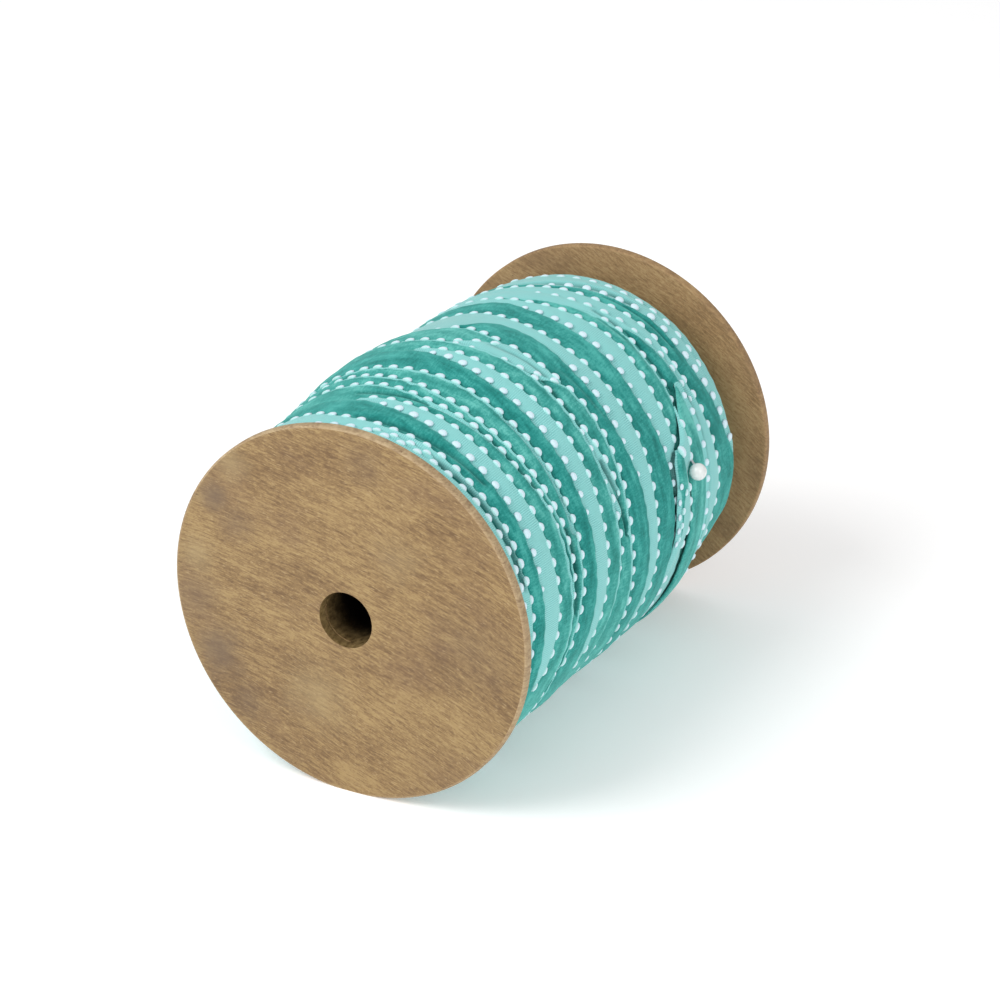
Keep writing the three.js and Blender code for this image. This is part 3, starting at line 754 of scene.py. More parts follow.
def thread_fuzz():
    """Fine fibres of pile and thread."""
    group, given, way_out = new_group(
        "thread_fuzz", [("Place", "NodeSocketVector"), ("Fineness", "NodeSocketFloat")], ["Fuzz"]
    )
    set_inputs(way_out, Fuzz=noise_of(group, given["Place"], given["Fineness"], 2, 0.7))
    return group


def wood_grain():
    """Grain of sawn wood that lies at an angle: tone, blotches, fibres, pale flecks, specks."""
    group, given, way_out = new_group(
        "wood_grain",
        [("Place", "NodeSocketVector"), ("Turn", "NodeSocketFloat"), ("Length", "NodeSocketFloat")],
        ["Tone", "Blotches", "Fibres", "Flecks", "Specks"],
    )
    turned = add_node(group, "ShaderNodeVectorRotate", rotation_type="Y_AXIS")
    set_inputs(turned, Vector=given["Place"], Angle=given["Turn"])
    parts = add_node(group, "ShaderNodeSeparateXYZ")
    set_inputs(parts, Vector=turned.outputs["Vector"])
    x, y, z = (parts.outputs[axis] for axis in "XYZ")
    bent = math_of(group, "MULTIPLY_ADD", math_of(group, "MULTIPLY", x, x), GRAIN_BEND, z)
    wander = noise_of(group, given["Place"], 60, 2, 0.5)
    bent = math_of(group, "MULTIPLY_ADD", wander, 0.0022, bent)
    joined = add_node(group, "ShaderNodeCombineXYZ")
    set_inputs(joined, X=math_of(group, "DIVIDE", x, given["Length"]), Y=y, Z=bent)
    place = joined.outputs["Vector"]
    fine = noise_of(group, stretched(group, place, (520, 900, 4400)), 1, 3, 0.62)
    fibres = noise_of(group, stretched(group, place, (200, 400, 1500)), 1, 4, 0.62)
    clouds = noise_of(group, stretched(group, place, (48, 60, 110)), 1, 3, 0.55)
    grit = noise_of(group, given["Place"], 2300, 2, 0.6)
    tone = math_of(group, "MULTIPLY_ADD", clouds, 0.22, math_of(group, "MULTIPLY", fibres, 0.3))
    tone = math_of(group, "MULTIPLY_ADD", fine, 0.34, tone)
    tone = math_of(group, "MULTIPLY_ADD", grit, 0.14, tone)
    blotches = noise_of(group, stretched(group, place, (46, 70, 70)), 1.4, 3, 0.5)
    flecks = noise_of(group, stretched(group, place, (620, 900, 3000)), 1.2, 2, 0.5)
    specks = noise_of(group, stretched(group, place, (800, 900, 1300)), 1, 2, 0.5)
    set_inputs(
        way_out, Tone=tone, Fibres=fine,
        Blotches=share_between(group, blotches, 0.5, 0.68),
        Flecks=share_between(group, flecks, 0.58, 0.72),
        Specks=share_between(group, specks, 0.71, 0.78),
    )
    return group


def rim_wear():
    """Where handling has rubbed a disc's rim pale."""
    group, given, way_out = new_group("rim_wear", [("Place", "NodeSocketVector")], ["Worn"])
    parts = add_node(group, "ShaderNodeSeparateXYZ")
    set_inputs(parts, Vector=given["Place"])
    high = math_of(group, "SUBTRACT", parts.outputs["Z"], AXIS_HEIGHT * MM)
    out = math_of(group, "SQRT", math_of(
        group, "ADD", math_of(group, "POWER", parts.outputs["X"], 2.0),
        math_of(group, "POWER", math_of(group, "ABSOLUTE", high), 2.0),
    ))
    patches = noise_of(group, given["Place"], 130, 4, 0.65)
    near = math_of(group, "MULTIPLY_ADD", patches, 0.0016, out)
    worn = share_between(group, near, (DISC_RADIUS - 0.2) * MM, (DISC_RADIUS + 0.9) * MM)
    set_inputs(way_out, Worn=worn)
    return group


RIBBED_WEAVE = ribbed_weave()
CONTACT_SHADE = contact_shade()
THREAD_FUZZ = thread_fuzz()
WOOD_GRAIN = wood_grain()
RIM_WEAR = rim_wear()


def new_material(name):
    material = bpy.data.materials.new(name)
    material.use_nodes = True
    tree = material.node_tree
    return material, tree, tree.nodes["Principled BSDF"]


def add_bump(tree, shader, height, strength, distance):
    bump = add_node(tree, "ShaderNodeBump")
    set_inputs(bump, Height=height, Strength=strength, Distance=distance)
    set_inputs(shader, Normal=bump.outputs["Normal"])


def ribbon_place(tree):
    """The place on the ribbon: along it and across it from its right-hand edge."""
    return add_node(tree, "ShaderNodeUVMap", uv_map="UVMap").outputs["UV"]


def weave_colour(tree, place):
    weave = place_group(tree, RIBBED_WEAVE, Place=place)
    ground = colour_ramp(tree, weave["Patches"], [(0.3, MINT_DULL), (0.62, MINT)])
    between = math_of(tree, "MULTIPLY", weave["Ribs"], 0.75)
    return mix_colours(tree, between, ground, MINT_THREAD), weave["Ribs"]


def velvet_material(name, *tones):
    """Cut pile with a nap that lies across the ribbon, and its bare woven selvedge.

    The tones go from dark to light."""
    material, tree, shader = new_material(name)
    place = ribbon_place(tree)
    solid = add_node(tree, "ShaderNodeTexCoord").outputs["Object"]
    nap = noise_of(tree, stretched(tree, place, (1.25, 0.3, 1)), 1.8, 4, 0.62)
    tone_and_sheen = noise_of(tree, stretched(tree, place, (0.16, 0.5, 1)), 1, 3, 0.5)
    fuzz = place_group(tree, THREAD_FUZZ, Place=solid, Fineness=3600.0)["Fuzz"]
    tone = math_of(tree, "MULTIPLY_ADD", nap, 0.3, math_of(tree, "MULTIPLY", tone_and_sheen, 0.48))
    tone = math_of(tree, "MULTIPLY_ADD", fuzz, 0.22, tone)
    # Painted sheen: the pile is painted lighter, or darker, in patches listed by place
    painted_sheen_there = add_node(tree, "ShaderNodeAttribute", attribute_name=PAINTED_SHEEN_NAME)
    tone = math_of(tree, "ADD", tone, painted_sheen_there.outputs["Fac"])
    pile = colour_ramp(tree, tone, zip(NAP_STOPS, tones))
    # Painted shade: the pile is painted darker where it slips under the next turn and in creases
    shade = place_group(tree, CONTACT_SHADE, Strength=0.75)["Shade"]
    pile = mix_colours(tree, shade, pile, PILE_PAINTED_SHADE)
    mint = weave_colour(tree, place)[0]
    across = add_node(tree, "ShaderNodeSeparateXYZ")
    set_inputs(across, Vector=place)
    hairy = noise_of(tree, stretched(tree, place, (1, 0.5, 1)), 3.2, 3)
    line = math_of(tree, "MULTIPLY_ADD", hairy, 0.5, across.outputs["Y"])
    pile_share = share_between(tree, line, SELVEDGE_IN_MAP + 0.06, SELVEDGE_IN_MAP + 0.34)
    set_inputs(shader, Base_Color=mix_colours(tree, pile_share, mint, pile))
    height = math_of(tree, "MULTIPLY_ADD", nap, 0.5, fuzz)
    add_bump(tree, shader, height, 0.45, 0.00022)
    set_inputs(shader, Roughness=0.95, Sheen_Weight=0.5, Sheen_Roughness=0.42)
    set_inputs(shader, Specular_IOR_Level=0.1, Sheen_Tint=(0.38, 0.95, 0.88))
    return material


def woven_material():
    """The ribbon's back, which is plain weave with fine ribs."""
    material, tree, shader = new_material("ribbed_back")
    colour, ribs = weave_colour(tree, ribbon_place(tree))
    # Painted shade: the woven back is painted darker where it slips under the next turn and in
    # creases
    shade = place_group(tree, CONTACT_SHADE, Strength=0.8)["Shade"]
    set_inputs(shader, Base_Color=mix_colours(tree, shade, colour, MINT_PAINTED_SHADE))
    set_inputs(shader, Roughness=0.6, Sheen_Weight=0.2)
    add_bump(tree, shader, math_of(tree, "SUBTRACT", 1.0, ribs), 0.6, 0.0001)
    set_inputs(shader, Specular_IOR_Level=0.3)
    return material


def loop_material():
    """White looped thread, painted mint where it leaves the ribbon: partly the ground's mint,
    partly painted shade.
    """
    material, tree, shader = new_material("looped_edge_thread")
    solid = add_node(tree, "ShaderNodeTexCoord").outputs["Object"]
    across = add_node(tree, "ShaderNodeSeparateXYZ")
    set_inputs(across, Vector=ribbon_place(tree))
    fuzz = place_group(tree, THREAD_FUZZ, Place=solid, Fineness=2400.0)["Fuzz"]
    line = math_of(tree, "MULTIPLY_ADD", fuzz, 0.3, across.outputs["Y"])
    # Painted shade: mint near the ribbon's edge, paler further out
    colour = colour_ramp(tree, line, [
        (0.14, (0.37, 0.71, 0.69)), (0.27, (0.52, 0.77, 0.81)), (0.42, (0.64, 0.81, 0.9)),
    ])
    set_inputs(shader, Base_Color=colour, Roughness=0.5, Sheen_Weight=0.3)
    add_bump(tree, shader, fuzz, 0.4, 0.00012)
    return material


def stain_mask(tree, place, patches):
    """Soft uneven patches on a disc's outer face, each one (x, z, reach, strength)."""
    uneven = noise_of(tree, place, 210, 4, 0.65)
    whole = 0.0
    for x, z, reach, strength in patches:
        apart = add_node(tree, "ShaderNodeVectorMath", operation="DISTANCE")
        fill(apart.inputs[0], place)
        fill(apart.inputs[1], (x, FRONT_LOW.y * MM, z))
        edge = math_of(tree, "MULTIPLY_ADD", uneven, reach, apart.outputs["Value"])
        patch = share_between(tree, edge, 1.5 * reach, 0.4 * reach)
        patch = math_of(tree, "MULTIPLY", patch, strength)
        whole = math_of(tree, "MAXIMUM", patch, whole)
    return whole


def tint(tree, mask, strength, colour, mark):
    """Lays a mark's colour over another where its mask shows."""
    return mix_colours(tree, math_of(tree, "MULTIPLY", mask, strength), colour, mark)


def wood_material(name, turn, length, tones, blotch, fleck, speck, strengths, stains=()):
    """Bare pale wood. The tones go from dark to light; the strengths are those of its marks."""
    material, tree, shader = new_material(name)
    solid = add_node(tree, "ShaderNodeTexCoord").outputs["Object"]
    grain = place_group(tree, WOOD_GRAIN, Place=solid, Turn=math.radians(turn), Length=length)
    colour = colour_ramp(tree, grain["Tone"], zip(WOOD_STOPS, tones))
    blotched, flecked, specked, worn = strengths
    colour = tint(tree, grain["Blotches"], blotched, colour, blotch)
    colour = tint(tree, grain["Flecks"], flecked, colour, fleck)
    for patches, stain in stains:
        colour = mix_colours(tree, stain_mask(tree, solid, patches), colour, stain)
    rubbed = place_group(tree, RIM_WEAR, Place=solid)["Worn"]
    colour = tint(tree, rubbed, worn, colour, fleck)
    colour = tint(tree, grain["Specks"], specked, colour, speck)
    height = math_of(tree, "MULTIPLY_ADD", grain["Specks"], -0.6, grain["Fibres"])
    add_bump(tree, shader, height, 0.35, 0.0002)
    roughness = math_of(tree, "MULTIPLY_ADD", grain["Fibres"], 0.25, 0.55)
    set_inputs(shader, Base_Color=colour, Roughness=roughness)
    return material


def bore_material():
    """Rough wood round the spool's hole, painted dark, and near black further in: painted shade in
    the hole.
    """
    material, tree, shader = new_material("wood_bore")
    solid = add_node(tree, "ShaderNodeTexCoord").outputs["Object"]
    parts = add_node(tree, "ShaderNodeSeparateXYZ")
    set_inputs(parts, Vector=solid)
    marks = noise_of(tree, stretched(tree, solid, (900, 500, 900)), 1, 4, 0.65)
    colour = colour_ramp(tree, marks, [(0.35, (0.1, 0.062, 0.022)), (0.65, (0.25, 0.17, 0.07))])
    end = math_of(tree, "ABSOLUTE", parts.outputs["Y"])
    end = math_of(tree, "MULTIPLY_ADD", marks, 0.002, end)
    # Painted shade: the bore is painted near black further into the hole
    bore_painted_shade = share_between(tree, end, (BACK_HIGH.y + 1) * MM, (BACK_HIGH.y - 9) * MM)
    set_inputs(shader, Base_Color=mix_colours(tree, bore_painted_shade, colour, (0.006, 0.0035, 0.0015)))
    set_inputs(shader, Roughness=0.9, Specular_IOR_Level=0.1)
    add_bump(tree, shader, marks, 0.4, 0.0002)
    return material


def pearl_material():
    """A pearl's soft lustre, with faint clouds in it."""
    material, tree, shader = new_material("pearl")
    solid = add_node(tree, "ShaderNodeTexCoord").outputs["Object"]
    clouds = noise_of(tree, solid, 500, 3)
    colour = colour_ramp(tree, clouds, [(0.35, (0.66, 0.69, 0.68)), (0.65, (0.77, 0.8, 0.79))])
    roughness = math_of(tree, "MULTIPLY_ADD", clouds, 0.12, 0.16)
    set_inputs(shader, Base_Color=colour, Roughness=roughness)
    set_inputs(shader, Coat_Weight=0.6, Coat_Roughness=0.08, Subsurface_Weight=0.15)
    set_inputs(shader, Subsurface_Radius=(0.001, 0.001, 0.001))
    return material


def steel_material():
    """Drawn steel wire with faint marks along it."""
    material, tree, shader = new_material("pin_steel")
    solid = add_node(tree, "ShaderNodeTexCoord").outputs["Object"]
    marks = noise_of(tree, solid, 1800, 3)
    colour = colour_ramp(tree, marks, [(0.3, (0.55, 0.56, 0.57)), (0.7, (0.78, 0.79, 0.8))])
    set_inputs(shader, Base_Color=colour, Metallic=1.0)
    set_inputs(shader, Roughness=math_of(tree, "MULTIPLY_ADD", marks, 0.2, 0.16))
    return material


def floor_material():
    material, _, shader = new_material("pale_floor")
    set_inputs(shader, Base_Color=(0.93, 0.93, 0.93), Roughness=0.9)
    set_inputs(shader, Emission_Color=(1, 1, 1), Emission_Strength=0.2)
    return material


VELVET = velvet_material(
    "velvet_pile", (0.017, 0.19, 0.165), (0.043, 0.31, 0.275), (0.13, 0.5, 0.445),
)
# Painted shade: the same velvet painted darker, for the turns with a rolled edge
VELVET_SHADED = velvet_material(
    "velvet_pile_shaded", (0.008, 0.155, 0.137), (0.022, 0.255, 0.228), (0.07, 0.41, 0.365),
)
WOVEN = woven_material()
LOOPS = loop_material()
WOOD_FRONT = wood_material(
    "wood_front", -20, 1.0,
    ((0.148, 0.083, 0.033), (0.25, 0.155, 0.063), (0.36, 0.245, 0.103)),
    (0.19, 0.112, 0.062), (0.46, 0.33, 0.165), (0.1, 0.055, 0.025), (0.25, 0.55, 0.6, 0.2),
    [(DARK_STAINS, (0.15, 0.1, 0.062)), (PALE_STAINS, (0.37, 0.275, 0.135))],
)
WOOD_BACK = wood_material(
    "wood_back", -38, 0.8,
    ((0.2, 0.114, 0.047), (0.3, 0.18, 0.077), (0.39, 0.255, 0.117)),
    (0.2, 0.115, 0.052), (0.4, 0.28, 0.14), (0.08, 0.04, 0.02), (0.4, 0.35, 0.7, 0.1),
)
WOOD_RIM = wood_material(
    "wood_rim", 0, 0.5,
    ((0.25, 0.165, 0.085), (0.37, 0.26, 0.14), (0.47, 0.35, 0.2)),
    (0.3, 0.18, 0.08), (0.5, 0.38, 0.23), (0.13, 0.07, 0.03), (0.4, 0.4, 0.8, 0.0),
)
WOOD_BORE = bore_material()
PEARL = pearl_material()
STEEL = steel_material()


# Camera, light and floor

def place_camera():
    azimuth = math.radians(CAMERA_AZIMUTH)
    elevation = math.radians(CAMERA_ELEVATION)
    look = Vector((
        -math.sin(azimuth) * math.cos(elevation),
        math.cos(azimuth) * math.cos(elevation),
        -math.sin(elevation),
    ))
    bpy.ops.object.camera_add(location=CAMERA_PLACE)
    camera = bpy.context.object
    camera.rotation_euler = look.to_track_quat("-Z", "Y").to_euler()
    camera.data.lens = CAMERA_LENS
    camera.data.sensor_width = CAMERA_SENSOR
    camera.data.clip_start = 0.01
    camera.data.clip_end = 10
    bpy.context.scene.camera = camera


def add_light(name, place, aim, size, power):
    bpy.ops.object.light_add(type="AREA", location=place)
    light = bpy.context.object
    light.name = name
    light.data.size = size
    light.data.energy = power
    light.rotation_euler = (Vector(aim) - Vector(place)).to_track_quat("-Z", "Y").to_euler()


def add_studio():
    bpy.context.scene.view_settings.view_transform = "Standard"
    bpy.ops.mesh.primitive_plane_add(size=6, location=(0, 0, 0))
    floor = bpy.context.object
    floor.name = "floor"
    floor.data.materials.append(floor_material())
    world = bpy.data.worlds.new("studio")
    bpy.context.scene.world = world
    world.use_nodes = True
    set_inputs(world.node_tree.nodes["Background"], Color=(1, 1, 1), Strength=0.62)
    middle = (0, 0, AXIS_HEIGHT * MM)
    add_light("key_light", (-0.45, -0.75, 0.9), middle, 0.7, 9)
    add_light("fill_light", (0.8, -0.5, 0.5), middle, 0.7, 3)


# Wound ribbon

PILE_STEPS = (1.2, 0.8, 0.48, 0.28, 0.14, 0.05, 0.0)
PILE_ROUNDING = 0.9
BACK_HEIGHT = PILE * 0.6
SELVEDGE_HEIGHT = 0.06
MIDDLE_SHARES = (1.0, 0.92, 0.82, 0.7, 0.58, 0.46, 0.34, 0.22, 0.1)
TUCKED_SHARES = (1.0, 0.66, 0.33, 0.06)
SELVEDGE_POINTS = 4
TOP_POINTS = len(TUCKED_SHARES) + len(MIDDLE_SHARES) + len(PILE_STEPS) + SELVEDGE_POINTS


def pile_height(inside, scale):
    """Height of the pile over its ground, at a distance inside the pile's own edge."""
    fall = max(0.0, 1 - inside / (PILE_ROUNDING * scale))
    return PILE * math.sqrt(max(0.0, 1 - fall**2))


def selvedge_width(index, degrees):
    width = SELVEDGE[TURNS[index][0]]
    return width * (1 + 0.35 * ring_noise(40, degrees, index * 2.9))


def turn_outline(index, degrees):
    """The closed outline of one turn, from its tucked left side over the top and back below.

    Each point is (distance from the right-hand edge, rise over the ground)."""
    visible = turn_edge(index, degrees) - turn_cover(index - 1, degrees)
    visible = max(visible, LEAST_SHOWN)
    selvedge = min(selvedge_width(index, degrees), 0.4 * visible)
    tucked = max(RIBBON_WIDTH - visible, 0.5)
    inner = visible - selvedge
    scale = min(1.0, inner / 1.5)
    backs = TURNS[index][0] == "back"

    def top_height(inside):
        return BACK_HEIGHT if backs else pile_height(inside, scale)

    top = [(visible + tucked * share, top_height(inner)) for share in TUCKED_SHARES]
    pile_start = PILE_STEPS[0] * scale
    for share in MIDDLE_SHARES:
        inside = pile_start + (inner - pile_start) * share
        top.append((selvedge + inside, top_height(inside)))
    for inside in PILE_STEPS:
        top.append((selvedge + inside * scale, top_height(inside * scale)))
    edge = BACK_HEIGHT if backs else SELVEDGE_HEIGHT
    top += [(selvedge * 0.9, edge), (selvedge * 0.5, edge + 0.02)]
    top += [(0.06, edge), (0.0, edge - 0.08)]
    bottom = [(0.0, -BASE * 0.6), (0.12, -BASE)]
    bottom += [(visible * 0.5, -BASE), (visible, -BASE)]
    bottom += [(visible + tucked * share, -BASE) for share in reversed(TUCKED_SHARES)]
    return top + bottom, selvedge


def turn_lift(index, along, degrees, rise):
    over = turns_over(index, along, degrees)
    crown = CROWN * math.sin(math.pi * min(over, 1))
    wave = WAVE * ring_noise(3.9, degrees, index * 3.7 + along / 6)
    tufts = TUFTS * ring_noise(26, degrees, index * 1.3 + along / 1.6)
    return -STEP * over - PILE + crown + wave + tufts + rise - fold_drop(along, degrees)


def painted_contact_shade(index, along, degrees):
    """How much painted shade a place gets: one where it touches the turn that lies over it, and
    nought further off. Creases are painted darker too.
    """
    beside = (along - turn_cover(index - 1, degrees)) / CONTACT_SHADE_REACH
    contact = CONTACT_SHADE_STRENGTH[TURNS[index][0]] * math.exp(-(max(beside, 0.0) ** 2))
    crease = min(max(CREASE_SHADE_STRENGTH * fold_drop(along, degrees), 0.0), 1.0)
    return max(contact, crease)


def loop_ripple(index, degrees):
    """The edge stands out a little at each loop."""
    turned = 2 * math.pi * (degrees - LOOP_STARTS[index]) / 360
    return RIPPLE * math.cos(turned * LOOP_COUNTS[index])


def wound_turn(index):
    """One turn of ribbon: a grid laid right round the spool and joined where its ends meet."""
    around = len(turn_outline(index, 0)[0])
    deselect_all()
    bpy.ops.mesh.primitive_grid_add(x_subdivisions=around, y_subdivisions=TURN_STEPS, size=1)
    piece = bpy.context.object
    mesh = piece.data
    place_of = []
    mesh.attributes.new(PAINTED_SHADE_NAME, "FLOAT", "POINT")
    mesh.attributes.new(PAINTED_SHEEN_NAME, "FLOAT", "POINT")
    painted_shade, tone_and_sheen = mesh.attributes[PAINTED_SHADE_NAME].data, mesh.attributes[PAINTED_SHEEN_NAME].data
    length = 2 * math.pi * DISC_RADIUS / TURN_STEPS
    for step in range(TURN_STEPS + 1):
        degrees = SEAM_DEGREES + 360 * step / TURN_STEPS
        start = step * (around + 1)
        outline, selvedge = turn_outline(index, degrees)
        right = turn_edge(index, degrees)
        ripple = loop_ripple(index, degrees)
        row = []
        for across, rise in outline:
            along = right - across + ripple * max(0.0, 1 - across / RIPPLE_REACH)
            below = min(0.0, along - SIDE_GAP)
            along = min(max(along, SIDE_GAP), INNER_LENGTH - SIDE_GAP)
            lift = turn_lift(index, along, degrees, rise) + below
            vertex = start + len(row)
            mesh.vertices[vertex].co = ribbon_point(along, degrees, lift)
            # Painted shade and painted sheen for this point
            painted_shade[vertex].value = painted_contact_shade(index, along, degrees)
            tone_and_sheen[vertex].value = painted_sheen(along, degrees)
            on_map = across - selvedge + SELVEDGE_IN_MAP
            row.append((index * MAP_SHIFT + length * step, on_map))
        mesh.vertices[start + around].co = mesh.vertices[start].co
        painted_shade[start + around].value = painted_shade[start].value
        place_of += row + row[:1]
    layer = mesh.uv_layers.active.data
    velvet = TURNS[index][0] != "back"
    for face in mesh.polygons:
        k = min(vertex % (around + 1) for vertex in face.vertices)
        under = k >= around - 1
        top = k < TOP_POINTS - 1
        face.material_index = 1 if under or top != velvet else 0
        face.use_smooth = True
        for corner in face.loop_indices:
            layer[corner].uv = place_of[mesh.loops[corner].vertex_index]
    # Turns with a rolled edge take the velvet with painted shade
    mesh.materials.append(VELVET_SHADED if TURNS[index][0] == "rolled" else VELVET)
    mesh.materials.append(WOVEN)
    close_up(piece)
    return piece


def close_up(piece):
    """Joins the points of a piece that lie in one place and turns its faces outward."""
    pick(piece)
    bpy.ops.object.mode_set(mode="EDIT")
    bpy.ops.mesh.select_all(action="SELECT")
    bpy.ops.mesh.remove_doubles(threshold=0.001 * MM)
    bpy.ops.mesh.normals_make_consistent(inside=False)
    bpy.ops.object.mode_set(mode="OBJECT")


# Looped edge

def loop_shape():
    """One loop of the edge, made once: a ball whose points and faces are kept for the copies."""
    deselect_all()
    bpy.ops.mesh.primitive_uv_sphere_add(segments=10, ring_count=6, radius=1)
    ball = bpy.context.object
    points = [vertex.co.copy() for vertex in ball.data.vertices]
    faces = [tuple(face.vertices) for face in ball.data.polygons]
    bpy.data.objects.remove(ball)
    return points, faces


LOOP_POINTS, LOOP_FACES = loop_shape()


def loop_copy(kind, place, forward, outward, upward, size):
    """The points of one loop, a half oval on the ribbon's edge or a whole oval beside it."""
    shape = LOOP_SHAPES[kind]
    made = []
    for p in LOOP_POINTS:
        if shape is WHOLE_OVAL:
            y = (0.5 + 0.55 * p.y) * shape["reach"]
            x = p.x * shape["length"] / 2
        else:
            y = p.y * (shape["reach"] if p.y > 0 else shape["tuck"])
            x = p.x * shape["length"] / 2 * (1 + 0.12 * max(0.0, -p.y) - 0.05 * max(0.0, p.y))
        z = p.z * shape["thick"] / 2 + shape["droop"] * max(0.0, y) ** 2 / shape["reach"] ** 2
        made.append(place + (forward * x + outward * y + upward * z) * (MM * size))
    return made


def loops_mesh(name, copies, kind):
    """Joins copies of the loop into one piece. Its map says how far out each point is."""
    points, faces = [], []
    for copy in copies:
        start = len(points)
        points += copy
        faces += [tuple(start + i for i in face) for face in LOOP_FACES]
    mesh = bpy.data.meshes.new(name)
    mesh.from_pydata([tuple(p) for p in points], [], faces)
    layer = mesh.uv_layers.new(name="UVMap").data
    further = 0.6 if LOOP_SHAPES[kind] is WHOLE_OVAL else 0.2
    for corner, cell in zip(mesh.loops, layer):
        p = LOOP_POINTS[corner.vertex_index % len(LOOP_POINTS)]
        cell.uv = (p.x, 0.25 + 0.5 * (p.y + further))
    mesh.materials.append(LOOPS)
    piece = bpy.data.objects.new(name, mesh)
    bpy.context.scene.collection.objects.link(piece)
    smooth(piece)
    return piece


def edge_lengths(index):
    """How long a turn's edge is from the top to each place round the spool."""
    lengths = [0.0]
    last = None
    for place in range(EDGE_PLACES + 1):
        degrees = 360 * place / EDGE_PLACES
        along = turn_edge(index, degrees)
        here = spool_point(along, degrees, winding_radius(along, degrees)) / MM
        if last is not None:
            lengths.append(lengths[-1] + (here - last).length)
        last = here
    return lengths


def loop_degrees(index):
    """Where a turn's loops sit, evenly along its edge."""
    lengths = edge_lengths(index)
    count = LOOP_COUNTS[index]
    start = LOOP_STARTS[index] * EDGE_PLACES / 360
    low = int(start)
    first = lengths[low] + (lengths[low + 1] - lengths[low]) * (start - low)
    found = []
    for k in range(count):
        wanted = (first + lengths[-1] * k / count) % lengths[-1]
        place = max(i for i in range(EDGE_PLACES) if lengths[i] <= wanted)
        share = (wanted - lengths[place]) / (lengths[place + 1] - lengths[place])
        found.append(360 * (place + share) / EDGE_PLACES)
    return found


LOOP_COUNTS = [round(edge_lengths(index)[-1] / LOOP_PITCH) for index in range(len(TURNS))]


def loop_size(index, degrees):
    rows = round_rows(TURNS[index][2])
    degrees %= 360
    for (d0, s0), (d1, s1) in zip(rows, rows[1:]):
        if d0 <= degrees <= d1:
            return s0 + (s1 - s0) * (degrees - d0) / (d1 - d0)
    return 0.0


def loop_on_edge(kind, seed, place, ahead, degrees, size, aside="right"):
    """One loop at a place on an edge that runs towards the point ahead."""
    forward = (ahead - place).normalized()
    angle = math.radians(degrees)
    radial = Vector((math.sin(angle), 0, math.cos(angle)))
    outward = radial.cross(forward).normalized()
    upward = forward.cross(outward).normalized()
    if aside == "left":
        outward, forward = -outward, -forward
    place = place - outward * ((1 - min(size, 1)) * 0.5 * MM)
    size = (0.45 + 0.55 * size) * (1 + 0.1 * noise.noise(Vector((seed * 2.3, size, 7.7))))
    outward = (outward + upward * 0.08 * noise.noise(Vector((seed * 3.1, size, 1.3)))).normalized()
    return loop_copy(kind, place, forward, outward, upward, size)


def edge_loops(index):
    kind = TURNS[index][0]
    copies = []
    for k, degrees in enumerate(loop_degrees(index)):
        size = loop_size(index, degrees)
        along = turn_edge(index, degrees)
        if size < SMALLEST_LOOP or along < turn_cover(index - 1, degrees) + LOOP_CLEARANCE:
            continue
        degrees += LOOP_STRAY * noise.noise(Vector((k * 1.7, index * 5.1, 2.2)))
        lift = turn_lift(index, along, degrees, LOOP_RISE[kind])
        place = ribbon_point(along, degrees, lift)
        ahead = ribbon_point(turn_edge(index, degrees + 1), degrees + 1, lift)
        copies.append(loop_on_edge(kind, k + 100 * index, place, ahead, degrees, size))
    return copies


def inner_turns():
    """The buried turns under the ones that show."""
    deselect_all()
    bpy.ops.mesh.primitive_torus_add(major_segments=INNER_AROUND, minor_segments=INNER_ACROSS)
    piece = bpy.context.object
    length = INNER_LENGTH - 2 * INNER_MARGIN
    for vertex in piece.data.vertices:
        step, k = divmod(vertex.index, INNER_ACROSS)
        degrees = 360 * step / INNER_AROUND
        along = INNER_MARGIN + length * (min(k, INNER_TOP) / INNER_TOP)
        radius = winding_radius(along, degrees) - INNER_DEPTH
        if k > INNER_TOP:
            back = (k - INNER_TOP - 1) / (INNER_ACROSS - INNER_TOP - 2)
            along = INNER_LENGTH - INNER_MARGIN - length * back
            radius = CORE_RADIUS + CORE_GAP
        vertex.co = spool_point(along, degrees, radius)
    piece.data.materials.append(VELVET)
    smooth(piece)
    return piece


def make_winding():
    for index in range(len(TURNS)):
        turn = wound_turn(index)
        finish_piece(turn, f"ribbon_turn_{index + 1:02d}", "velvet", "wound_ribbon")
        copies = edge_loops(index)
        if copies:
            name = f"looped_edge_{index + 1:02d}"
            finish_piece(loops_mesh(name, copies, TURNS[index][0]), name, "velvet")
    finish_piece(inner_turns(), "inner_turns", "velvet", "wound_ribbon")


# Loose end

def strip_sides(strip, degrees):
    """Where the left and right sides of a strip of the loose end lie."""
    right = read_table(strip["right"], degrees)
    left = max(read_table(strip["left"], degrees), right - RIBBON_WIDTH)
    return min(left, right - 0.4), right


def strip_lift(strip, degrees, share):
    """How high a strip's upper side stands over the winding, from its left (0) to its right (1)."""
    left, right = strip_sides(strip, degrees)
    width = right - left
    from_left, from_right = share * width, (1 - share) * width
    along = left + from_left
    lift = read_table(strip["lift"], degrees)
    if strip["side"] == "velvet":
        bare = read_table(strip["selvedge"], degrees)
        inside = from_right - bare if strip["selvedge_at"] == "right" else from_left - bare
        lift -= PILE - pile_height(max(inside, 0.0), min(1.0, width / 3))
    lift -= strip["curl"] * max(0.0, 1 - from_left / CURL_REACH) ** 2
    lift -= 0.12 * max(0.0, 1 - from_right / 1.0) ** 2
    lift += 0.08 * noise.noise(Vector((degrees / 5, along / 2.5, strip["lift"][0][1])))
    pressed = math.hypot((degrees - PIN_DEGREES) * MM_PER_DEGREE, along - PIN_ALONG)
    lift -= PIN_PRESS * math.exp(-((pressed / PIN_PRESS_REACH) ** 2))
    return along, lift


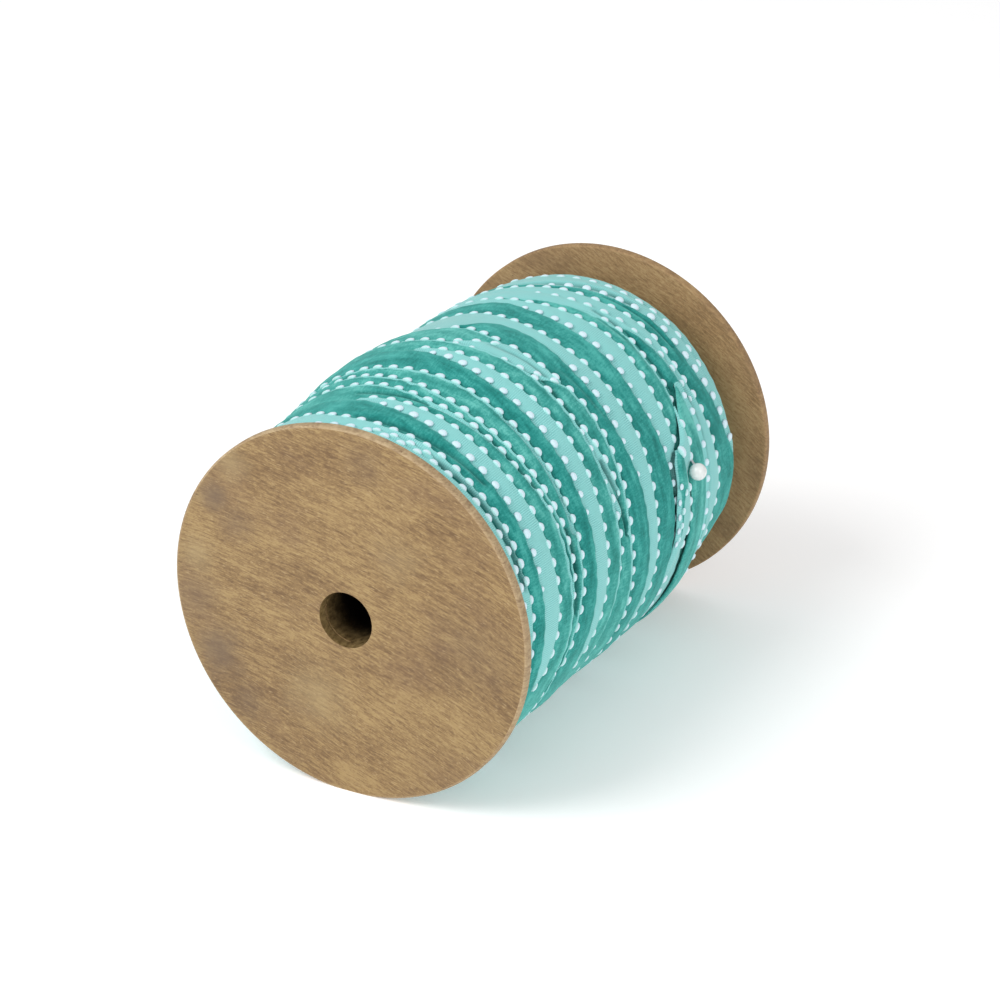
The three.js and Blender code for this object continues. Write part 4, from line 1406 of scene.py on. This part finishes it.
STRIP_SHARES = (
    1.0, 0.985, 0.965, 0.94, 0.905, 0.86, 0.78, 0.68, 0.56, 0.44, 0.32, 0.22, 0.14, 0.09, 0.05,
    0.02, 0.0,
)


def laid_strip(name):
    """One strip of the loose end, laid over the winding, with the ribbon's thickness under it."""
    strip = TAIL_STRIPS[name]
    first, last = strip["lift"][0][0], strip["lift"][-1][0]
    rows = int(last - first)
    columns = len(STRIP_SHARES)
    deselect_all()
    bpy.ops.mesh.primitive_grid_add(x_subdivisions=columns - 1, y_subdivisions=rows, size=1)
    piece = bpy.context.object
    mesh = piece.data
    place_of = []
    # The loose end gets the same painted sheen
    tone_and_sheen = mesh.attributes.new(PAINTED_SHEEN_NAME, "FLOAT", "POINT").data
    for row in range(rows + 1):
        degrees = first + (last - first) * row / rows
        left, right = strip_sides(strip, degrees)
        bare = read_table(strip["selvedge"], degrees)
        from_tip = (degrees - first) * MM_PER_DEGREE - strip["tip"]
        for column, share in enumerate(STRIP_SHARES):
            along, lift = strip_lift(strip, degrees, share)
            mesh.vertices[row * columns + column].co = ribbon_point(along, degrees, lift)
            tone_and_sheen[row * columns + column].value = painted_sheen(along, degrees)
            at_right = strip["selvedge_at"] == "right"
            across = (1 - share if at_right else share) * (right - left)
            on_map = min(across - bare, from_tip) + SELVEDGE_IN_MAP
            place_of.append((degrees * MM_PER_DEGREE, on_map))
    layer = mesh.uv_layers.active.data
    for corner, cell in zip(mesh.loops, layer):
        cell.uv = place_of[corner.vertex_index]
    sides = [VELVET, WOVEN] if strip["side"] == "velvet" else [WOVEN, VELVET]
    for material in sides:
        mesh.materials.append(material)
    smooth(piece)
    wall = piece.modifiers.new("thickness", "SOLIDIFY")
    wall.thickness = STRIP_THICKNESS * MM
    wall.offset = -1
    wall.material_offset = 1
    bpy.ops.object.modifier_apply(modifier="thickness")
    return piece


def make_loose_end():
    strips = [laid_strip(name) for name in TAIL_STRIPS]
    deselect_all()
    for strip in strips:
        strip.select_set(True)
    tail = strips[0]
    bpy.context.view_layer.objects.active = tail
    bpy.ops.object.join()
    finish_piece(tail, "ribbon_tail", "velvet", "ribbon_end")
    copies = {"velvet": [], "rolled": []}
    for seed, (name, degrees, aside, inside, kind, size) in enumerate(TAIL_LOOPS):
        strip = TAIL_STRIPS[name]

        def edge_point(at):
            left, right = strip_sides(strip, at)
            share = min(inside / (right - left), 1.0)
            along, lift = strip_lift(strip, at, 1 - share if aside == "right" else share)
            return ribbon_point(along, at, lift - (0 if inside else LOOP_DROP))

        place, ahead = edge_point(degrees), edge_point(degrees + 1)
        copies[kind].append(loop_on_edge(kind, seed, place, ahead, degrees, size, aside))
    for kind, made in copies.items():
        if made:
            name = f"tail_looped_edge_{kind}"
            finish_piece(loops_mesh(name, made, kind), name, "velvet")


# Spool

def rim_bevel(piece):
    """Rounds the two circles where a turned piece's side meets its end faces."""
    pick(piece)
    mesh = piece.data
    for edge in mesh.edges:
        a, b = (mesh.vertices[i].co for i in edge.vertices)
        edge.select = abs(a.y - b.y) < 1e-6
    bpy.ops.object.mode_set(mode="EDIT")
    bpy.ops.mesh.select_mode(type="EDGE")
    bpy.ops.mesh.bevel(offset=RIM_ROUNDING * MM, segments=RIM_SEGMENTS, affect="EDGES")
    bpy.ops.object.mode_set(mode="OBJECT")


def turned_cylinder(radius, low, high, vertices, aside=0.0, lower=0.0):
    deselect_all()
    bpy.ops.mesh.primitive_cylinder_add(
        vertices=vertices,
        radius=radius * MM,
        depth=(high - low) * MM,
        location=(aside * MM, (low + high) / 2 * MM, (AXIS_HEIGHT - lower) * MM),
        rotation=(math.radians(90), 0, 0),
    )
    bpy.ops.object.transform_apply(location=True, rotation=True, scale=True)
    return bpy.context.object


def drill_bore(piece):
    cutter = turned_cylinder(
        BORE_RADIUS, -INNER_LENGTH, INNER_LENGTH, BORE_SIDES, BORE_ASIDE, BORE_LOWER
    )
    pick(piece)
    cut = piece.modifiers.new("bore", "BOOLEAN")
    cut.operation = "DIFFERENCE"
    cut.solver = "EXACT"
    cut.object = cutter
    bpy.ops.object.modifier_apply(modifier="bore")
    bpy.data.objects.remove(cutter)


def cut_flat(piece):
    pick(piece)
    bpy.ops.object.mode_set(mode="EDIT")
    bpy.ops.mesh.select_all(action="SELECT")
    bpy.ops.mesh.bisect(plane_co=(0, 0, 0), plane_no=(0, 0, -1), clear_outer=True, use_fill=True)
    bpy.ops.object.mode_set(mode="OBJECT")


def smooth_by_angle(piece):
    pick(piece)
    bpy.ops.object.shade_smooth_by_angle(angle=math.radians(SMOOTH_DEGREES))


def face_distance(face):
    """How far a face's middle lies from the spool's axis."""
    return math.hypot(face.center.x, face.center.z - AXIS_HEIGHT * MM)


def wooden_disc(name, low, high, material, rim):
    disc = turned_cylinder(DISC_RADIUS, low, high, DISC_SIDES)
    rim_bevel(disc)
    drill_bore(disc)
    cut_flat(disc)
    disc.data.materials.clear()
    for wood in (material, rim, WOOD_BORE):
        disc.data.materials.append(wood)
    for face in disc.data.polygons:
        if abs(face.normal.y) < 0.98:
            face.material_index = 1 if face_distance(face) > DISC_RADIUS * MM / 2 else 2
    smooth_by_angle(disc)
    finish_piece(disc, name, "wood", name.replace("wooden_", ""))


def wooden_core():
    core = turned_cylinder(CORE_RADIUS, CORE_LOW.y, CORE_HIGH.y, BORE_SIDES)
    drill_bore(core)
    core.data.materials.clear()
    core.data.materials.append(WOOD_BACK)
    core.data.materials.append(WOOD_BORE)
    for face in core.data.polygons:
        face.material_index = 1 if face_distance(face) < (BORE_RADIUS + BORE_BAND) * MM else 0
    smooth_by_angle(core)
    finish_piece(core, "wooden_core", "wood", "core")


# Pin

def pearl_head():
    deselect_all()
    middle = (PEARL_LOW + PEARL_HIGH) / 2
    radius = (PEARL_HIGH.x - PEARL_LOW.x) / 2
    bpy.ops.mesh.primitive_uv_sphere_add(
        segments=48, ring_count=32, radius=radius * MM, location=middle * MM
    )
    bpy.ops.object.transform_apply(location=True, rotation=True, scale=True)
    pearl = bpy.context.object
    pearl.data.materials.append(PEARL)
    smooth(pearl)
    finish_piece(pearl, "pearl_head", "pearl", "pin_head")


place_camera()
add_studio()
make_winding()
make_loose_end()
wooden_disc("wooden_front_disc", FRONT_LOW.y, FRONT_HIGH.y, WOOD_FRONT, WOOD_RIM)
wooden_disc("wooden_back_disc", BACK_LOW.y, BACK_HIGH.y, WOOD_BACK, WOOD_BACK)
wooden_core()
pearl_head()
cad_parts["pin_shaft"].data.materials.clear()
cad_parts["pin_shaft"].data.materials.append(STEEL)
